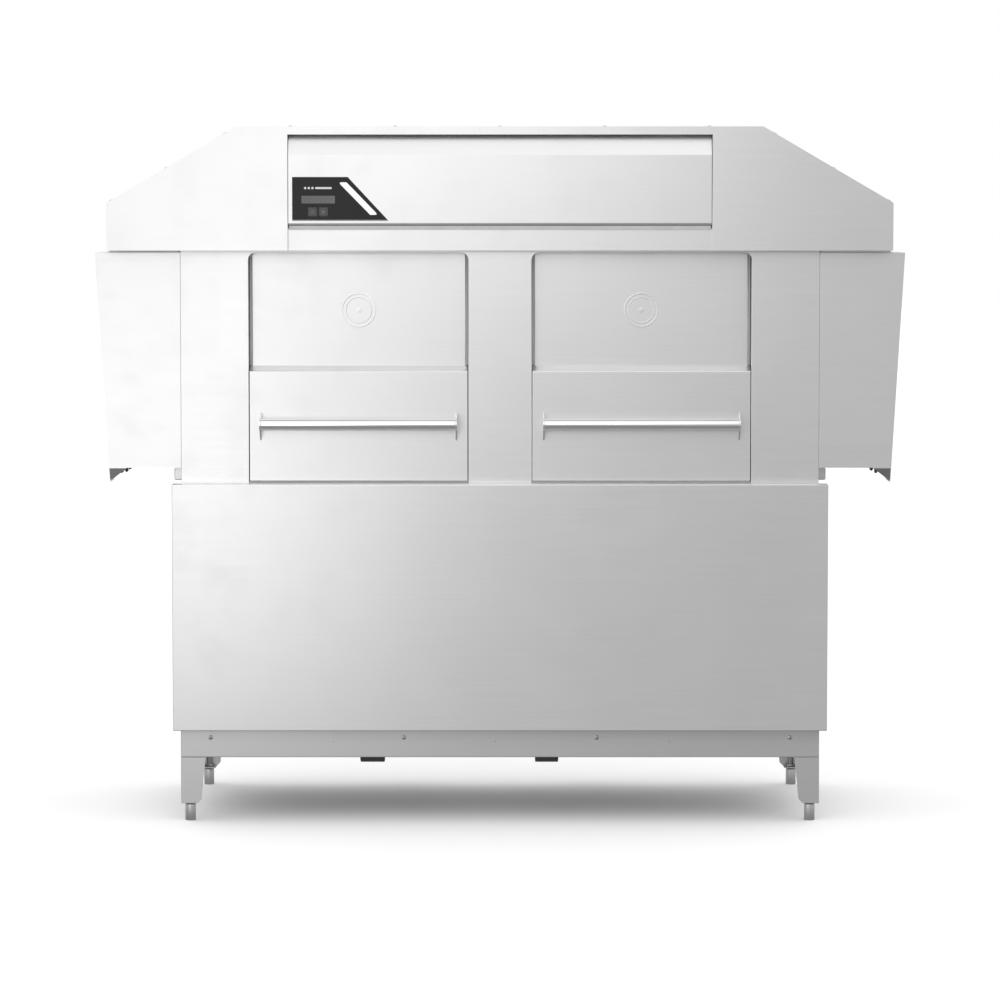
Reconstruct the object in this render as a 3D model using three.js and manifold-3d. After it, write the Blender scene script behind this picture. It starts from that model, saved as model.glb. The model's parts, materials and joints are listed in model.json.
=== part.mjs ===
// A two-door rack-conveyor dishwasher, modelled as the separate pieces it is assembled from.
// Millimetres. Racks travel along +X, the operator stands at -Y, and Z is up from the floor.
// The origin is on the floor, under the middle of the machine.
import * as THREE from "three";
import { mergeVertices } from "three/addons/utils/BufferGeometryUtils.js";
import Module from "manifold-3d";

const wasm = await Module();
wasm.setup();

// Driving dimensions.
const air = 0.3; // kept between touching pieces
const skin = 2; // cladding sheet
const round = 16; // sides of a pipe or a pin

const body = { half: 835, front: -365, rear: 358 };
const base = {
  half: 841,
  depth: 358,
  bottom: 169,
  top: 247,
  sheet: 3,
  flange: 40,
  cross: [-80, -40], // the channel that ties front to back
  shelf: { x: 450, y: -70 }, // inner corner of the heater's shelf
};
const cabinet = { half: 857.6, front: -405, bottom: 244.8, top: 892.5, flange: 24 };
const upper = { bottom: 850, sill: 893.5, head: 1496.7, top: 1560, endTop: 1520 };
const cutout = { inner: 82.5, outer: 657.7, corner: 19 };
const doorway = { centre: (cutout.inner + cutout.outer) / 2 };
const chamber = { half: 832, front: -289.7, rear: 288.3, roof: 1440 };
const rackTop = 900; // the plane that racks slide on
const chamberSill = 889; // top of the side panels and foot of the end plates
const tunnel = { half: 260, bottom: 897.2, top: 1360, collar: 25 };
const tank = { outer: 815, inner: 15, depth: 288, top: 870, low: 560, high: 680, flange: 12, sheet: 2.5 };
const hood = {
  half: 1022.4,
  front: -405,
  rear: 405,
  bottom: 1501.7,
  shoulder: 1626,
  top: 1823.8,
  flat: 683.8,
  slant: 0.3, // how far the inner ridge draws in for each millimetre of inset
  lip: 24,
};
const recess = { half: 551.5, top: 1802.6, strip: 1559.2, stripFront: -395 };
const fascia = {
  half: 550.8,
  front: -402,
  bottom: 1567.6,
  bend: 1749.9,
  back: -384,
  crest: 1804.5,
  curl: 6, // radius of the rolled lower edge
  under: 14,
};
const shield = {
  top: 1496.7,
  wide: 1057.5,
  bottom: 933.7,
  narrow: 1025.1,
  hem: 896.7,
  depth: 365,
  flange: 22,
  gusset: 48,
};
const rearmost = 420; // ends of the water and drain pipes

// Standpipes, drains, pumps and arms of the two wash zones.
const zones = [
  { side: "left", sign: -1, pump: -379, pumpWidth: 65.5, drain: -263 },
  { side: "right", sign: 1, pump: 95.4, pumpWidth: 62.7, drain: 268 },
];

// Stock colours.
function finish(color, roughness, metalness) {
  return new THREE.MeshStandardMaterial({ color, roughness, metalness });
}
const steel = () => finish(0xc9cbcc, 0.32, 1);
const innerSteel = () => finish(0xaeb1b3, 0.42, 1);
const blackPlastic = () => finish(0x2b2c2d, 0.45, 0);
const greyPlastic = () => finish(0x8d9093, 0.55, 0);
const castIron = () => finish(0x1d1e20, 0.6, 0.4);
const strip = () => finish(0x3b3f42, 0.7, 0);

// Shapes. Every helper gives a manifold solid, so pieces can be joined and cut.
function solidOf(geometry) {
  geometry.deleteAttribute("normal");
  geometry.deleteAttribute("uv");
  const merged = mergeVertices(geometry, 1e-4);
  const corners = merged.index.array;
  const kept = [];
  for (let i = 0; i < corners.length; i += 3) {
    const [a, b, c] = corners.subarray(i, i + 3);
    if (a !== b && b !== c && c !== a) kept.push(a, b, c);
  }
  const vertProperties = merged.attributes.position.array;
  const triVerts = new Uint32Array(kept);
  return new wasm.Manifold(new wasm.Mesh({ numProp: 3, vertProperties, triVerts }));
}

function block(x, y, z) {
  const size = [x, y, z].map(([a, b]) => Math.abs(b - a));
  const middle = [x, y, z].map(([a, b]) => (a + b) / 2);
  return solidOf(new THREE.BoxGeometry(...size).translate(...middle));
}

const turns = {
  X: new THREE.Matrix4().makeRotationZ(-Math.PI / 2),
  Y: new THREE.Matrix4(),
  Z: new THREE.Matrix4().makeRotationX(Math.PI / 2),
};

// A round bar along one axis, from one end to the other, centred on the two other coordinates.
function rod(axis, radius, ends, centre, sides = round) {
  const middle = (ends[0] + ends[1]) / 2;
  const places = { X: [middle, ...centre], Y: [centre[0], middle, centre[1]], Z: [...centre, middle] };
  const bar = new THREE.CylinderGeometry(radius, radius, Math.abs(ends[1] - ends[0]), sides);
  return solidOf(bar.applyMatrix4(turns[axis]).translate(...places[axis]));
}

const planes = {
  YZ: new THREE.Matrix4().makeBasis(
    new THREE.Vector3(0, 1, 0),
    new THREE.Vector3(0, 0, 1),
    new THREE.Vector3(1, 0, 0),
  ),
  XZ: new THREE.Matrix4().makeBasis(
    new THREE.Vector3(1, 0, 0),
    new THREE.Vector3(0, 0, 1),
    new THREE.Vector3(0, -1, 0),
  ),
};

// An outline in the YZ or XZ plane, given as points or a shape, made as thick as its ends are apart.
function slab(plane, outline, ends) {
  const shape = Array.isArray(outline)
    ? new THREE.Shape(outline.map(([a, b]) => new THREE.Vector2(a, b)))
    : outline;
  const depth = Math.abs(ends[1] - ends[0]);
  const made = new THREE.ExtrudeGeometry(shape, { depth, bevelEnabled: false, curveSegments: 6 });
  made.applyMatrix4(planes[plane]);
  if (plane === "YZ") made.translate(Math.min(...ends), 0, 0);
  else made.translate(0, Math.max(...ends), 0);
  return solidOf(made);
}

// A sheet folded along a chain of points, thick towards the left of the chain.
function folded(plane, chain, ends, thickness = skin) {
  const points = chain.map(([a, b]) => new THREE.Vector2(a, b));
  const inner = points.map((point, i) => {
    const before = points[i].clone().sub(points[i - 1] ?? point).normalize();
    const after = (points[i + 1] ?? point).clone().sub(point).normalize();
    if (i === 0) before.copy(after);
    if (i === points.length - 1) after.copy(before);
    const bisector = before.clone().add(after).normalize();
    const reach = thickness / bisector.dot(before);
    return [point.x - bisector.y * reach, point.y + bisector.x * reach];
  });
  return slab(plane, [...chain, ...inner.reverse()], ends);
}

// A pipe through straight stretches, with a ball at each corner.
function pipe(points, radius, sides = 12) {
  const pieces = [];
  points.slice(1).forEach((end, i) => {
    const start = new THREE.Vector3(...points[i]);
    const line = new THREE.Vector3(...end).sub(start);
    const bar = new THREE.CylinderGeometry(radius, radius, line.length(), sides);
    const along = line.clone().normalize();
    const turn = new THREE.Quaternion().setFromUnitVectors(new THREE.Vector3(0, 1, 0), along);
    const middle = start.clone().addScaledVector(line, 0.5);
    pieces.push(solidOf(bar.applyQuaternion(turn).translate(...middle)));
  });
  points.slice(1, -1).forEach((corner) => {
    pieces.push(solidOf(new THREE.SphereGeometry(radius, sides, sides / 2).translate(...corner)));
  });
  return joined(pieces);
}

const joined = (pieces) => pieces.reduce((sum, piece) => sum.add(piece));
const grown = ([a, b], by) => [Math.min(a, b) - by, Math.max(a, b) + by];

function piece(name, solid, material, place = [0, 0, 0]) {
  const { vertProperties, triVerts } = solid.getMesh();
  const geometry = new THREE.BufferGeometry();
  geometry.setAttribute("position", new THREE.BufferAttribute(vertProperties, 3));
  geometry.setIndex(new THREE.BufferAttribute(triVerts, 1));
  geometry.computeVertexNormals();
  const mesh = new THREE.Mesh(geometry, material);
  mesh.name = name;
  mesh.position.set(...place);
  return mesh;
}

function group(...members) {
  const made = new THREE.Group();
  made.add(...members);
  return made;
}

// Chassis: a ring of folded channel on four tapered legs with levelling feet.
function baseFrame() {
  const { half, depth, bottom, top, sheet, flange, cross, shelf } = base;
  const outer = block([-half, half], [-depth, depth], [bottom, top]);
  const hollow = block(
    [sheet - half, half - sheet],
    [sheet - depth, depth - sheet],
    [bottom + sheet, top - sheet],
  );
  const middle = block(
    [flange - half, half - flange],
    [flange - depth, depth - flange],
    grown([bottom, top], 1),
  );
  const channel = block(cross, [1 - depth, depth - 1], [bottom, bottom + flange]);
  const trough = block(grown(cross, -sheet), [-depth, depth], [bottom + sheet, bottom + flange + 1]);
  const plate = block([shelf.x, half - 1], [shelf.y, depth - 1], [top - sheet, top]);
  return outer.subtract(hollow).subtract(middle).add(channel.subtract(trough)).add(plate);
}

const leg = { top: 168.7, bottom: 47, bend: 58.2, wide: 65, narrow: 54, tip: 43, sheet: 3 };
const foot = { x: 817.4, y: 336.5, radius: 14, height: 46, rim: 2, crown: 6, stud: 6, studTop: 112 };

// One leg and its foot about the frame's corner, which lies towards +X and +Y times the signs.
function legSolid(signX, signY) {
  const { top, bottom, bend, wide, narrow, tip, sheet } = leg;
  const outline = [[0, top], [-wide, top], [-narrow, bend], [-tip, bottom], [0, bottom]];
  const across = slab("XZ", outline.map(([a, z]) => [signX * a, z]), [0, -signY * sheet]);
  const along = slab("YZ", outline.map(([a, z]) => [signY * a, z]), [0, -signX * sheet]);
  const sole = block([0, -signX * tip], [0, -signY * tip], [bottom, bottom + sheet]);
  const tab = block([0, -signX * wide], [0, -signY * wide], [top - sheet, top]);
  const hole = rod("Z", foot.stud + 1, [bottom - 1, bottom + sheet + 1], [
    signX * (foot.x - base.half),
    signY * (foot.y - base.depth),
  ]);
  return joined([across, along, sole, tab]).subtract(hole);
}

function footSolid() {
  const { radius, height, rim, crown, stud, studTop } = foot;
  const profile = [
    [0, 0],
    [radius - rim, 0],
    [radius, rim],
    [radius, height - crown],
    [radius - crown / 2, height],
    [stud, height],
    [stud, studTop],
    [0, studTop],
  ].map(([r, z]) => new THREE.Vector2(r, z));
  return solidOf(new THREE.LatheGeometry(profile, 20).rotateX(Math.PI / 2));
}

function chassis() {
  const parts = [piece("base_frame", baseFrame(), steel())];
  for (const [frontName, signY] of [["front", -1], ["rear", 1]])
    for (const [sideName, signX] of [["left", -1], ["right", 1]]) {
      const corner = [signX * base.half, signY * base.depth, 0];
      parts.push(piece(`leg_${frontName}_${sideName}`, legSolid(signX, signY), steel(), corner));
      const under = [signX * foot.x, signY * foot.y, 0];
      parts.push(piece(`foot_${frontName}_${sideName}`, footSolid(), steel(), under));
    }
  return group(...parts);
}

// Cabinet below the doors: a deep front pan, two folded side panels and the tall back.
function frontPanel() {
  const { half, front, bottom, top, flange } = cabinet;
  const back = -base.depth - air;
  const heights = [bottom + skin, top - skin];
  const outer = block([-half, half], [front, back], [bottom, top]);
  const inside = block([skin - half, half - skin], [front + skin, back - skin], heights);
  const open = block([flange - half, half - flange], [back - skin - 1, back + 1], heights);
  const above = [upper.bottom - air, top + 1];
  const frameRoom = block(grown([-half, half], 1), [body.front - skin, back + 1], above);
  return outer.subtract(inside).subtract(open).subtract(frameRoom);
}

function sidePanel(sign) {
  const { half, depth, flange } = base;
  const span = [base.top + air, chamberSill - 1];
  const outer = block([sign * (half - flange), sign * half], [-depth, depth], span);
  return outer.subtract(
    block([sign * (half - flange - 1), sign * (half - skin)], [skin - depth, depth - skin], grown(span, 1)),
  );
}

const riserY = 326; // line of the pipes that climb behind the chamber
const booster = {
  x: 600,
  y: 125,
  radius: 115,
  bottom: base.top + air,
  top: 590,
  sheet: 4,
  dome: 30,
  inlet: 300,
  feed: 11, // radius of the supply pipe
  outlet: 14,
  outletX: 748,
  outletZ: 520,
};

function rearPanel() {
  const half = body.half + 3;
  const thick = [body.rear + air, body.rear + air + skin];
  const low = block([-half, half], thick, [base.top + air, upper.sill]);
  const sheet = low.add(block([-body.half, body.half], thick, [upper.sill - 1, upper.endTop]));
  const inlet = rod("Y", booster.feed + 2, grown(thick, 3), [booster.x, booster.inlet]);
  return sheet.subtract(inlet);
}

const cabinetGroup = () =>
  group(
    piece("front_panel", frontPanel(), steel()),
    piece("side_panel_left", sidePanel(-1), steel()),
    piece("side_panel_right", sidePanel(1), steel()),
    piece("rear_panel", rearPanel(), steel()),
  );

// Front frame round the two doorways, with returns that carry the door rails.
const rail = {
  front: -308,
  back: -290,
  slot: [-303, -295],
  bottom: 895,
  top: 1800,
  inner: 658, // faces of the outer rails
  outer: 682,
  centre: 82,
  bite: 17, // depth of a slot
};

// A doorway as a solid to cut out, with rounded upper corners.
function doorwayHole(sign) {
  const { inner, outer, corner } = cutout;
  const { sill, head } = upper;
  const [left, right] = sign > 0 ? [inner, outer] : [-outer, -inner];
  const arc = (x, from) =>
    [0, 18, 36, 54, 72, 90].map((step) => {
      const turn = THREE.MathUtils.degToRad(from + step);
      return [x + corner * Math.cos(turn), head - corner + corner * Math.sin(turn)];
    });
  const outline = [[left, sill], [right, sill], ...arc(right - corner, 0), ...arc(left + corner, 90)];
  return slab("XZ", outline, grown([body.front, body.front + skin], 1));
}

function frontFrame() {
  const { half, front } = body;
  const face = block([-half, half], [front, front + skin], [upper.bottom, upper.top]);
  let frame = face.subtract(doorwayHole(-1)).subtract(doorwayHole(1));
  for (const sign of [-1, 1]) {
    const { inner, outer } = cutout;
    const heights = [upper.sill, upper.head];
    const depth = [front, rail.front - air];
    const rearward = [front, endPlate.front - air];
    const side = block([sign * (half - skin), sign * half], rearward, [chamberSill + 1, upper.top]);
    const near = block([sign * (inner - skin), sign * inner], depth, heights);
    const far = block([sign * outer, sign * (outer + skin)], depth, heights);
    frame = frame.add(side).add(near).add(far);
  }
  return frame;
}

// A door rail is a bar with a slot that the liner's edge runs in.
function sideRail(sign) {
  const { front, back, slot, bottom, top, inner, outer, bite } = rail;
  const bar = block([sign * inner, sign * outer], [front, back], [bottom, top]);
  return bar.subtract(block([sign * (inner - 1), sign * (inner + bite)], slot, grown([bottom, top], 1)));
}

function centreRail() {
  const { front, back, slot, bottom, top, centre, bite } = rail;
  let bar = block([-centre, centre], [front, back], [bottom, top]);
  for (const sign of [-1, 1]) {
    const groove = block([sign * (centre - bite), sign * (centre + 1)], slot, grown([bottom, top], 1));
    bar = bar.subtract(groove);
  }
  return bar;
}

// Wash chamber: one bent sheet for the back wall and roof, and an end plate with a collared way through.
const pipeHole = {
  upper: 1400,
  lower: 838,
  radius: 25,
  rinse: 11,
  rinseX: 760,
  rinseUpper: 1392,
  rinseLower: 842,
};
const endPlate = { front: -299.7 };

function chamberLiner() {
  const { half, front, rear, roof } = chamber;
  const through = grown([rear, rear], 5);
  let sheet = folded("YZ", [[rear, tank.top + air], [rear, roof], [front, roof]], [-half + air, half - air]);
  for (const { sign } of zones) {
    const feed = rod("Y", pipeHole.radius, through, [sign * armMiddle, pipeHole.upper]);
    sheet = sheet.subtract(feed);
  }
  const rinse = rod("Y", pipeHole.rinse, through, [pipeHole.rinseX, pipeHole.rinseUpper]);
  return sheet.subtract(rinse);
}

function endFrame(sign) {
  const { half, bottom, top, collar } = tunnel;
  const start = sign * (chamber.half + air);
  const depth = [endPlate.front, body.rear - air];
  const plate = block([start, sign * body.half], depth, [chamberSill, upper.endTop]);
  const wide = [-half - skin, half + skin];
  const lining = block([start, sign * (body.half + collar)], wide, grown([bottom, top], skin));
  const through = [sign * (chamber.half - 5), sign * (body.half + collar + 5)];
  const way = block(through, [-half, half], [bottom, top]);
  return plate.add(lining).subtract(way);
}

// Two sump tanks with a floor that falls to the pump's suction. A strainer tray in each is notched from the
// back for the standpipe.
const suction = { offset: -52, radius: 30, pit: 42 };
const standpipe = { y: 130, radius: 19, wall: 3, lift: 12, plug: 8, bail: 2, top: 818 };
const tray = { top: 795, depth: 25, gap: 8, notch: 27 };

// Seen from the front, a floor falls from each side wall to the flat over the suction pipe.
function tankOutline({ sign, pump }, inset) {
  const { outer, inner, top, low, high } = tank;
  const { offset, pit } = suction;
  const sump = pump + offset;
  const left = (sign > 0 ? inner : -outer) + inset;
  const right = (sign > 0 ? outer : -inner) - inset;
  const pitLeft = Math.max(sump - pit, left);
  const floor = [[pitLeft + inset / 2, low + inset], [sump + pit - inset / 2, low + inset]];
  const slope = pitLeft > left ? [[left, high + inset]] : [];
  const rim = top + 2 * inset;
  return [[left, rim], ...slope, ...floor, [right, high + inset], [right, rim]];
}

// Height of the tank's sloping floor, on its underside.
function floorHeight({ sign, pump }, x) {
  const { low, high, outer, inner } = tank;
  const pitEdge = pump + suction.offset + suction.pit;
  const wall = sign > 0 ? outer : -inner;
  return low + ((high - low) * (x - pitEdge)) / (wall - pitEdge);
}

function tankSolid(zone) {
  const { depth, top, flange, sheet } = tank;
  const sump = zone.pump + suction.offset;
  const inside = slab("XZ", tankOutline(zone, sheet), [sheet - depth, depth - sheet]);
  const shell = slab("XZ", tankOutline(zone, 0), [-depth, depth]).subtract(inside);
  const outer = block(
    [zone.sign * (tank.inner - flange), zone.sign * (tank.outer + flange)],
    [-depth - flange, depth + flange],
    [top - skin, top],
  );
  const mouth = block(
    [zone.sign * (tank.inner + 1), zone.sign * (tank.outer - 1)],
    [1 - depth, depth - 1],
    [top - 3, top + 1],
  );
  const through = grown([depth, depth], 15);
  const feed = rod("Y", pipeHole.radius, through, [zone.sign * armMiddle, pipeHole.lower]);
  const drain = rod("Z", standpipe.radius + 1, grown([tank.low, tank.high], 20), [zone.drain, standpipe.y]);
  const inlet = rod("Z", suction.radius - 3, grown([tank.low, tank.low], 10), [sump, 0]);
  const solid = shell.add(outer.subtract(mouth)).subtract(feed).subtract(drain).subtract(inlet);
  if (zone.sign < 0) return solid;
  return solid.subtract(rod("Y", pipeHole.rinse, through, [pipeHole.rinseX, pipeHole.rinseLower]));
}

function strainer(zone) {
  const { sign, drain } = zone;
  const { top, depth, gap, notch } = tray;
  const x = [sign * (tank.inner + gap), sign * (tank.outer - gap)];
  const y = [gap - tank.depth, tank.depth - gap];
  const basket = block(x, y, [top - depth, top]);
  const inside = block(grown(x, -skin), grown(y, -skin), [top - depth + skin, top + 1]);
  const toEdge = [standpipe.y - notch, tank.depth];
  const slot = block(grown([drain, drain], notch), toEdge, grown([top, top - depth], 1));
  return basket.subtract(inside).subtract(slot);
}

// Overflow standpipe, which lifts out to drain the tank. Its own origin is at its lower end.
function standpipeSolid(length) {
  const { radius, wall, lift, plug, bail } = standpipe;
  const bore = radius - wall;
  const tube = rod("Z", radius, [0, length], [0, 0]).subtract(rod("Z", bore, [lift, length + 1], [0, 0]));
  const stopper = rod("Z", bore, [-plug, 1], [0, 0]);
  const handleBar = block([1 - radius, radius - 1], [-bail, bail], [length - 3 * bail, length - bail]);
  return joined([tube, stopper, handleBar]);
}

// Pump: a flat volute on edge, its motor beside it, and the suction pipe from the sump.
const pumpBody = {
  z: 219,
  radius: 110,
  motor: 58,
  motorLength: 190,
  outlet: 20,
  outletY: 60,
  outletZ: 420,
  joint: 470, // where the pump's pipe meets the riser
};

function pumpSolid({ pump, pumpWidth, sign }) {
  const { z, radius, motor, motorLength } = pumpBody;
  const volute = rod("X", radius, [pump, pump + pumpWidth], [0, z], 32);
  const casing = rod("X", motor, [pump + pumpWidth - 1, pump + pumpWidth + motorLength], [0, z], 24);
  const sump = pump + suction.offset;
  const intake = pipe([[pump + 1, 0, z], [sump, 0, z], [sump, 0, tank.low - air]], suction.radius, round);
  const outletX = pump + pumpWidth / 2;
  const feedX = sign * armMiddle;
  const { outletY, outletZ, joint } = pumpBody;
  const route = [
    [outletX, outletY, z],
    [outletX, outletY, outletZ],
    [feedX, outletY, outletZ],
    [feedX, riserY, outletZ],
    [feedX, riserY, joint],
  ];
  const outlet = pipe(route, pumpBody.outlet);
  return joined([volute, casing, intake, outlet]);
}

// Drain: from under the standpipe down and out at the back.
const drainPipe = { radius: 24, z: 126 };

function drainSolid(zone) {
  const { radius, z } = drainPipe;
  const x = zone.drain;
  const seat = floorHeight(zone, x - radius) - air;
  return pipe([[x, standpipe.y, seat], [x, standpipe.y, z], [x, rearmost, z]], radius, round);
}

// Wash arms: a header across the back and four arms over or under the racks.
const armMiddle = 415;
const arms = [190, 340, 490, 640];
const armTube = { header: 20, headerY: 250, arm: 12, reach: -252, rinse: 9 };

function armSet(sign, z, feedEnd) {
  const { header, headerY, arm, reach } = armTube;
  const across = rod("X", header, [sign * (arms[0] - 20), sign * (arms[3] + 20)], [headerY, z]);
  const feed = rod("Y", header, [headerY, feedEnd], [sign * armMiddle, z]);
  const tubes = arms.map((x) => rod("Y", arm, [reach, headerY], [sign * x, z], 12));
  return joined([across, feed, ...tubes]);
}

function upperArms(sign) {
  const x = sign * armMiddle;
  const top = pipeHole.upper;
  const route = [[x, riserY - 5, top], [x, riserY, top], [x, riserY, pumpBody.joint + air]];
  return armSet(sign, top, riserY).add(pipe(route, armTube.header, round));
}

const lowerArms = (sign) => armSet(sign, pipeHole.lower, riserY - armTube.header - air);

// Final rinse at the exit: one pipe over the racks with its riser, and one under them.
function rinseUpper() {
  const { rinseX, rinseUpper } = pipeHole;
  const { y, outletZ } = booster;
  const route = [
    [rinseX, armTube.reach, rinseUpper],
    [rinseX, riserY, rinseUpper],
    [rinseX, riserY, outletZ],
    [rinseX, y - 8, outletZ],
  ];
  return pipe(route, armTube.rinse);
}

function rinseLower() {
  const { rinseX, rinseLower } = pipeHole;
  const { reach, rinse } = armTube;
  return rod("Y", rinse, [reach, riserY - rinse - air], [rinseX, rinseLower], 12);
}

function boosterSolid() {
  const { x, y, radius, bottom, top, sheet, dome, inlet, outletX, outletZ } = booster;
  const sides = 28;
  const outline = [[0, bottom], [radius, bottom], [radius, top - dome], [radius - dome, top], [0, top]];
  const profile = outline.map(([r, z]) => new THREE.Vector2(r, z));
  const vessel = solidOf(new THREE.LatheGeometry(profile, sides).rotateX(Math.PI / 2).translate(x, y, 0));
  const hollow = rod("Z", radius - sheet, [bottom - 1, top - dome - sheet], [x, y], sides);
  const feed = rod("Y", booster.feed, [y + radius - 2, rearmost], [x, inlet]);
  const outlet = rod("X", booster.outlet, [x + radius - 2, outletX], [y, outletZ]);
  return joined([vessel.subtract(hollow), feed, outlet]);
}

function washSystem() {
  const parts = [piece("booster_heater", boosterSolid(), innerSteel())];
  for (const zone of zones) {
    const { side, sign, drain } = zone;
    const standBottom = floorHeight(zone, drain) + standpipe.lift;
    parts.push(
      piece(`tank_${side}`, tankSolid(zone), innerSteel()),
      piece(`strainer_${side}`, strainer(zone), innerSteel()),
      piece(`standpipe_${side}`, standpipeSolid(standpipe.top - standBottom), innerSteel(), [
        drain,
        standpipe.y,
        standBottom,
      ]),
      piece(`pump_${side}`, pumpSolid(zone), castIron()),
      piece(`drain_pipe_${side}`, drainSolid(zone), greyPlastic()),
      piece(`wash_arms_upper_${side}`, upperArms(sign), innerSteel()),
      piece(`wash_arms_lower_${side}`, lowerArms(sign), innerSteel()),
    );
  }
  parts.push(piece("rinse_arm_upper", rinseUpper(), innerSteel()));
  parts.push(piece("rinse_arm_lower", rinseLower(), innerSteel()));
  return group(...parts);
}

// Rack conveyor: two guides, a pawl carriage under the racks, and the rocking lever that drives it.
const guide = { length: 862, wall: 258, lip: 925, ledge: 28, sheet: 2.5 };
const carriage = { half: 700, y: [-240, -210], z: [871, 879], bracket: 25, ear: 8, pin: 3 };
const lever = {
  x: 640,
  z: 400,
  arm: 450,
  y: [-334, -326],
  hub: 24,
  eye: 11,
  shaft: 10,
  pin: 6,
  slot: 14,
  plateY: [-319, -311],
};
const gearbox = {
  front: -320,
  rear: -356,
  sole: 60,
  box: 50,
  boxFront: -398,
  plate: 8,
  motor: { radius: 46, end: 210, y: -351 },
};
const pawl = { x: 350, pivotZ: 888, y: [-205, -197], tail: 9, reach: 46, nose: 14, tip: 912 };

function rackGuide(sign) {
  const { length, wall, lip, ledge, sheet } = guide;
  const shelf = block([-length, length], [sign * wall, sign * (wall - ledge)], [rackTop - sheet, rackTop]);
  return shelf.add(block([-length, length], [sign * wall, sign * (wall - sheet)], [rackTop - sheet, lip]));
}

function carriageSolid() {
  const { half, y, z, bracket } = carriage;
  const { x, plateY } = lever;
  const pinZ = lever.z + lever.arm;
  const across = grown([x, x], bracket);
  const arm = block(across, [plateY[0], y[0] + 1], z);
  const plate = block(across, plateY, [pinZ - 30, z[1]]);
  const slot = block(grown([x, x], lever.slot / 2), grown(plateY, 1), [pinZ - 20, pinZ + 12]);
  let solid = block([-half, half], y, z).add(arm).add(plate).subtract(slot);
  for (const sign of [-1, 1]) {
    const place = sign * pawl.x;
    const heights = [z[0], pawl.pivotZ + 6];
    const ear = block(grown([place, place], carriage.ear), [y[1] - 1, pawl.y[0] - 1], heights);
    const pin = rod("Y", carriage.pin, [y[1] - 1, pawl.y[1] + 3], [place, pawl.pivotZ], 12);
    solid = solid.add(ear).add(pin);
  }
  return solid;
}

// Catch that pushes the racks on one stroke and ducks under them on the other.
function pawlSolid() {
  const { tail, reach, nose, tip, pivotZ, y } = pawl;
  const rise = tip - pivotZ;
  const half = nose / 2;
  const foot = [[-tail, -half], [tail, -half]];
  const outline = [...foot, [reach, rise - nose], [reach, rise], [reach - 8, rise], [-tail, half]];
  const dog = slab("XZ", outline, y);
  return dog.subtract(rod("Y", carriage.pin + 2 * air, grown(y, 1), [0, 0], 12));
}

function leverSolid() {
  const { arm, y, hub, eye, shaft, pin, plateY } = lever;
  const boss = rod("Y", hub, y, [0, 0], 20);
  const wide = hub * 0.75;
  const bar = slab("XZ", [[-wide, 0], [wide, 0], [eye, arm], [-eye, arm]], y);
  const end = rod("Y", eye, y, [0, arm]);
  const crank = rod("Y", pin, [y[0], plateY[1] + 4], [0, arm]);
  return joined([boss, bar, end, crank]).subtract(rod("Y", shaft + 2 * air, grown(y, 1), [0, 0], 20));
}

function gearmotorSolid() {
  const { x, z, y, shaft } = lever;
  const { front, rear, sole, box, boxFront, plate, motor } = gearbox;
  const foundation = block(grown([x, x], sole), [rear, front], [base.top + air, base.top + 6]);
  const upright = block(grown([x, x], box - 5), [rear, rear + plate], [base.top + air, z + 40]);
  const casing = block(grown([x, x], box), [boxFront, y[0] - 4], grown([z, z], box + 10));
  const drive = rod("X", motor.radius, [x - motor.end, x - box + 1], [motor.y, z - 10], 24);
  const output = rod("Y", shaft, [y[0] - 5, y[1] + 6], [x, z], 20);
  return joined([foundation, upright, casing, drive, output]);
}

function conveyor() {
  const parts = [
    piece("rack_guide_front", rackGuide(-1), innerSteel()),
    piece("rack_guide_rear", rackGuide(1), innerSteel()),
    piece("conveyor_carriage", carriageSolid(), innerSteel()),
    piece("gearmotor", gearmotorSolid(), castIron()),
    piece("drive_lever", leverSolid(), innerSteel(), [lever.x, 0, lever.z]),
  ];
  for (const [side, sign] of [["left", -1], ["right", 1]])
    parts.push(piece(`pawl_${side}`, pawlSolid(), innerSteel(), [sign * pawl.x, 0, pawl.pivotZ]));
  return group(...parts);
}

// Hood: a front skin with a recess for the controls, and the shell behind it.
function hoodOutline(inset, drop) {
  const { half, bottom, shoulder, top, flat, slant } = hood;
  const side = half - inset;
  const ridge = flat - inset * slant;
  const right = [[side, bottom - drop], [side, shoulder - inset * slant], [ridge, top - inset]];
  return [...right, ...right.map(([x, z]) => [-x, z]).reverse()];
}

function hoodFront() {
  const { front, bottom } = hood;
  const { half, top, strip: stripTop, stripFront } = recess;
  const face = slab("XZ", hoodOutline(0, 0), [front, front + skin]);
  const window = block([-half, half], grown([front, front + skin], 1), [bottom - 1, top]);
  const depth = [front, stripFront + skin];
  const returns = [-1, 1].map((sign) => block([sign * half, sign * (half + skin)], depth, [bottom, top]));
  const bar = block([-half - 1, half + 1], [stripFront, stripFront + skin], [bottom, stripTop]);
  return joined([face.subtract(window), ...returns, bar]);
}

function hoodShell() {
  const { front, rear, half, bottom, lip } = hood;
  const start = front + skin + air;
  const outer = slab("XZ", hoodOutline(0, 0), [start, rear]);
  const hollow = slab("XZ", hoodOutline(skin, 5), [start - 1, rear - skin]);
  const hem = [bottom, bottom + skin];
  const inside = block([lip - half, half - lip], [start - 1, rear - lip], grown(hem, 1));
  return outer.subtract(hollow).add(block([-half, half], [start, rear], hem).subtract(inside));
}

const controls = {
  front: -405,
  left: -540,
  top: 1692.7,
  bottom: 1581.8,
  rightTop: -395.8,
  rightBottom: -292.1,
  buttonZ: 1602.5,
  buttonX: [-487, -459],
  button: 19,
  proud: 2,
};

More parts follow.
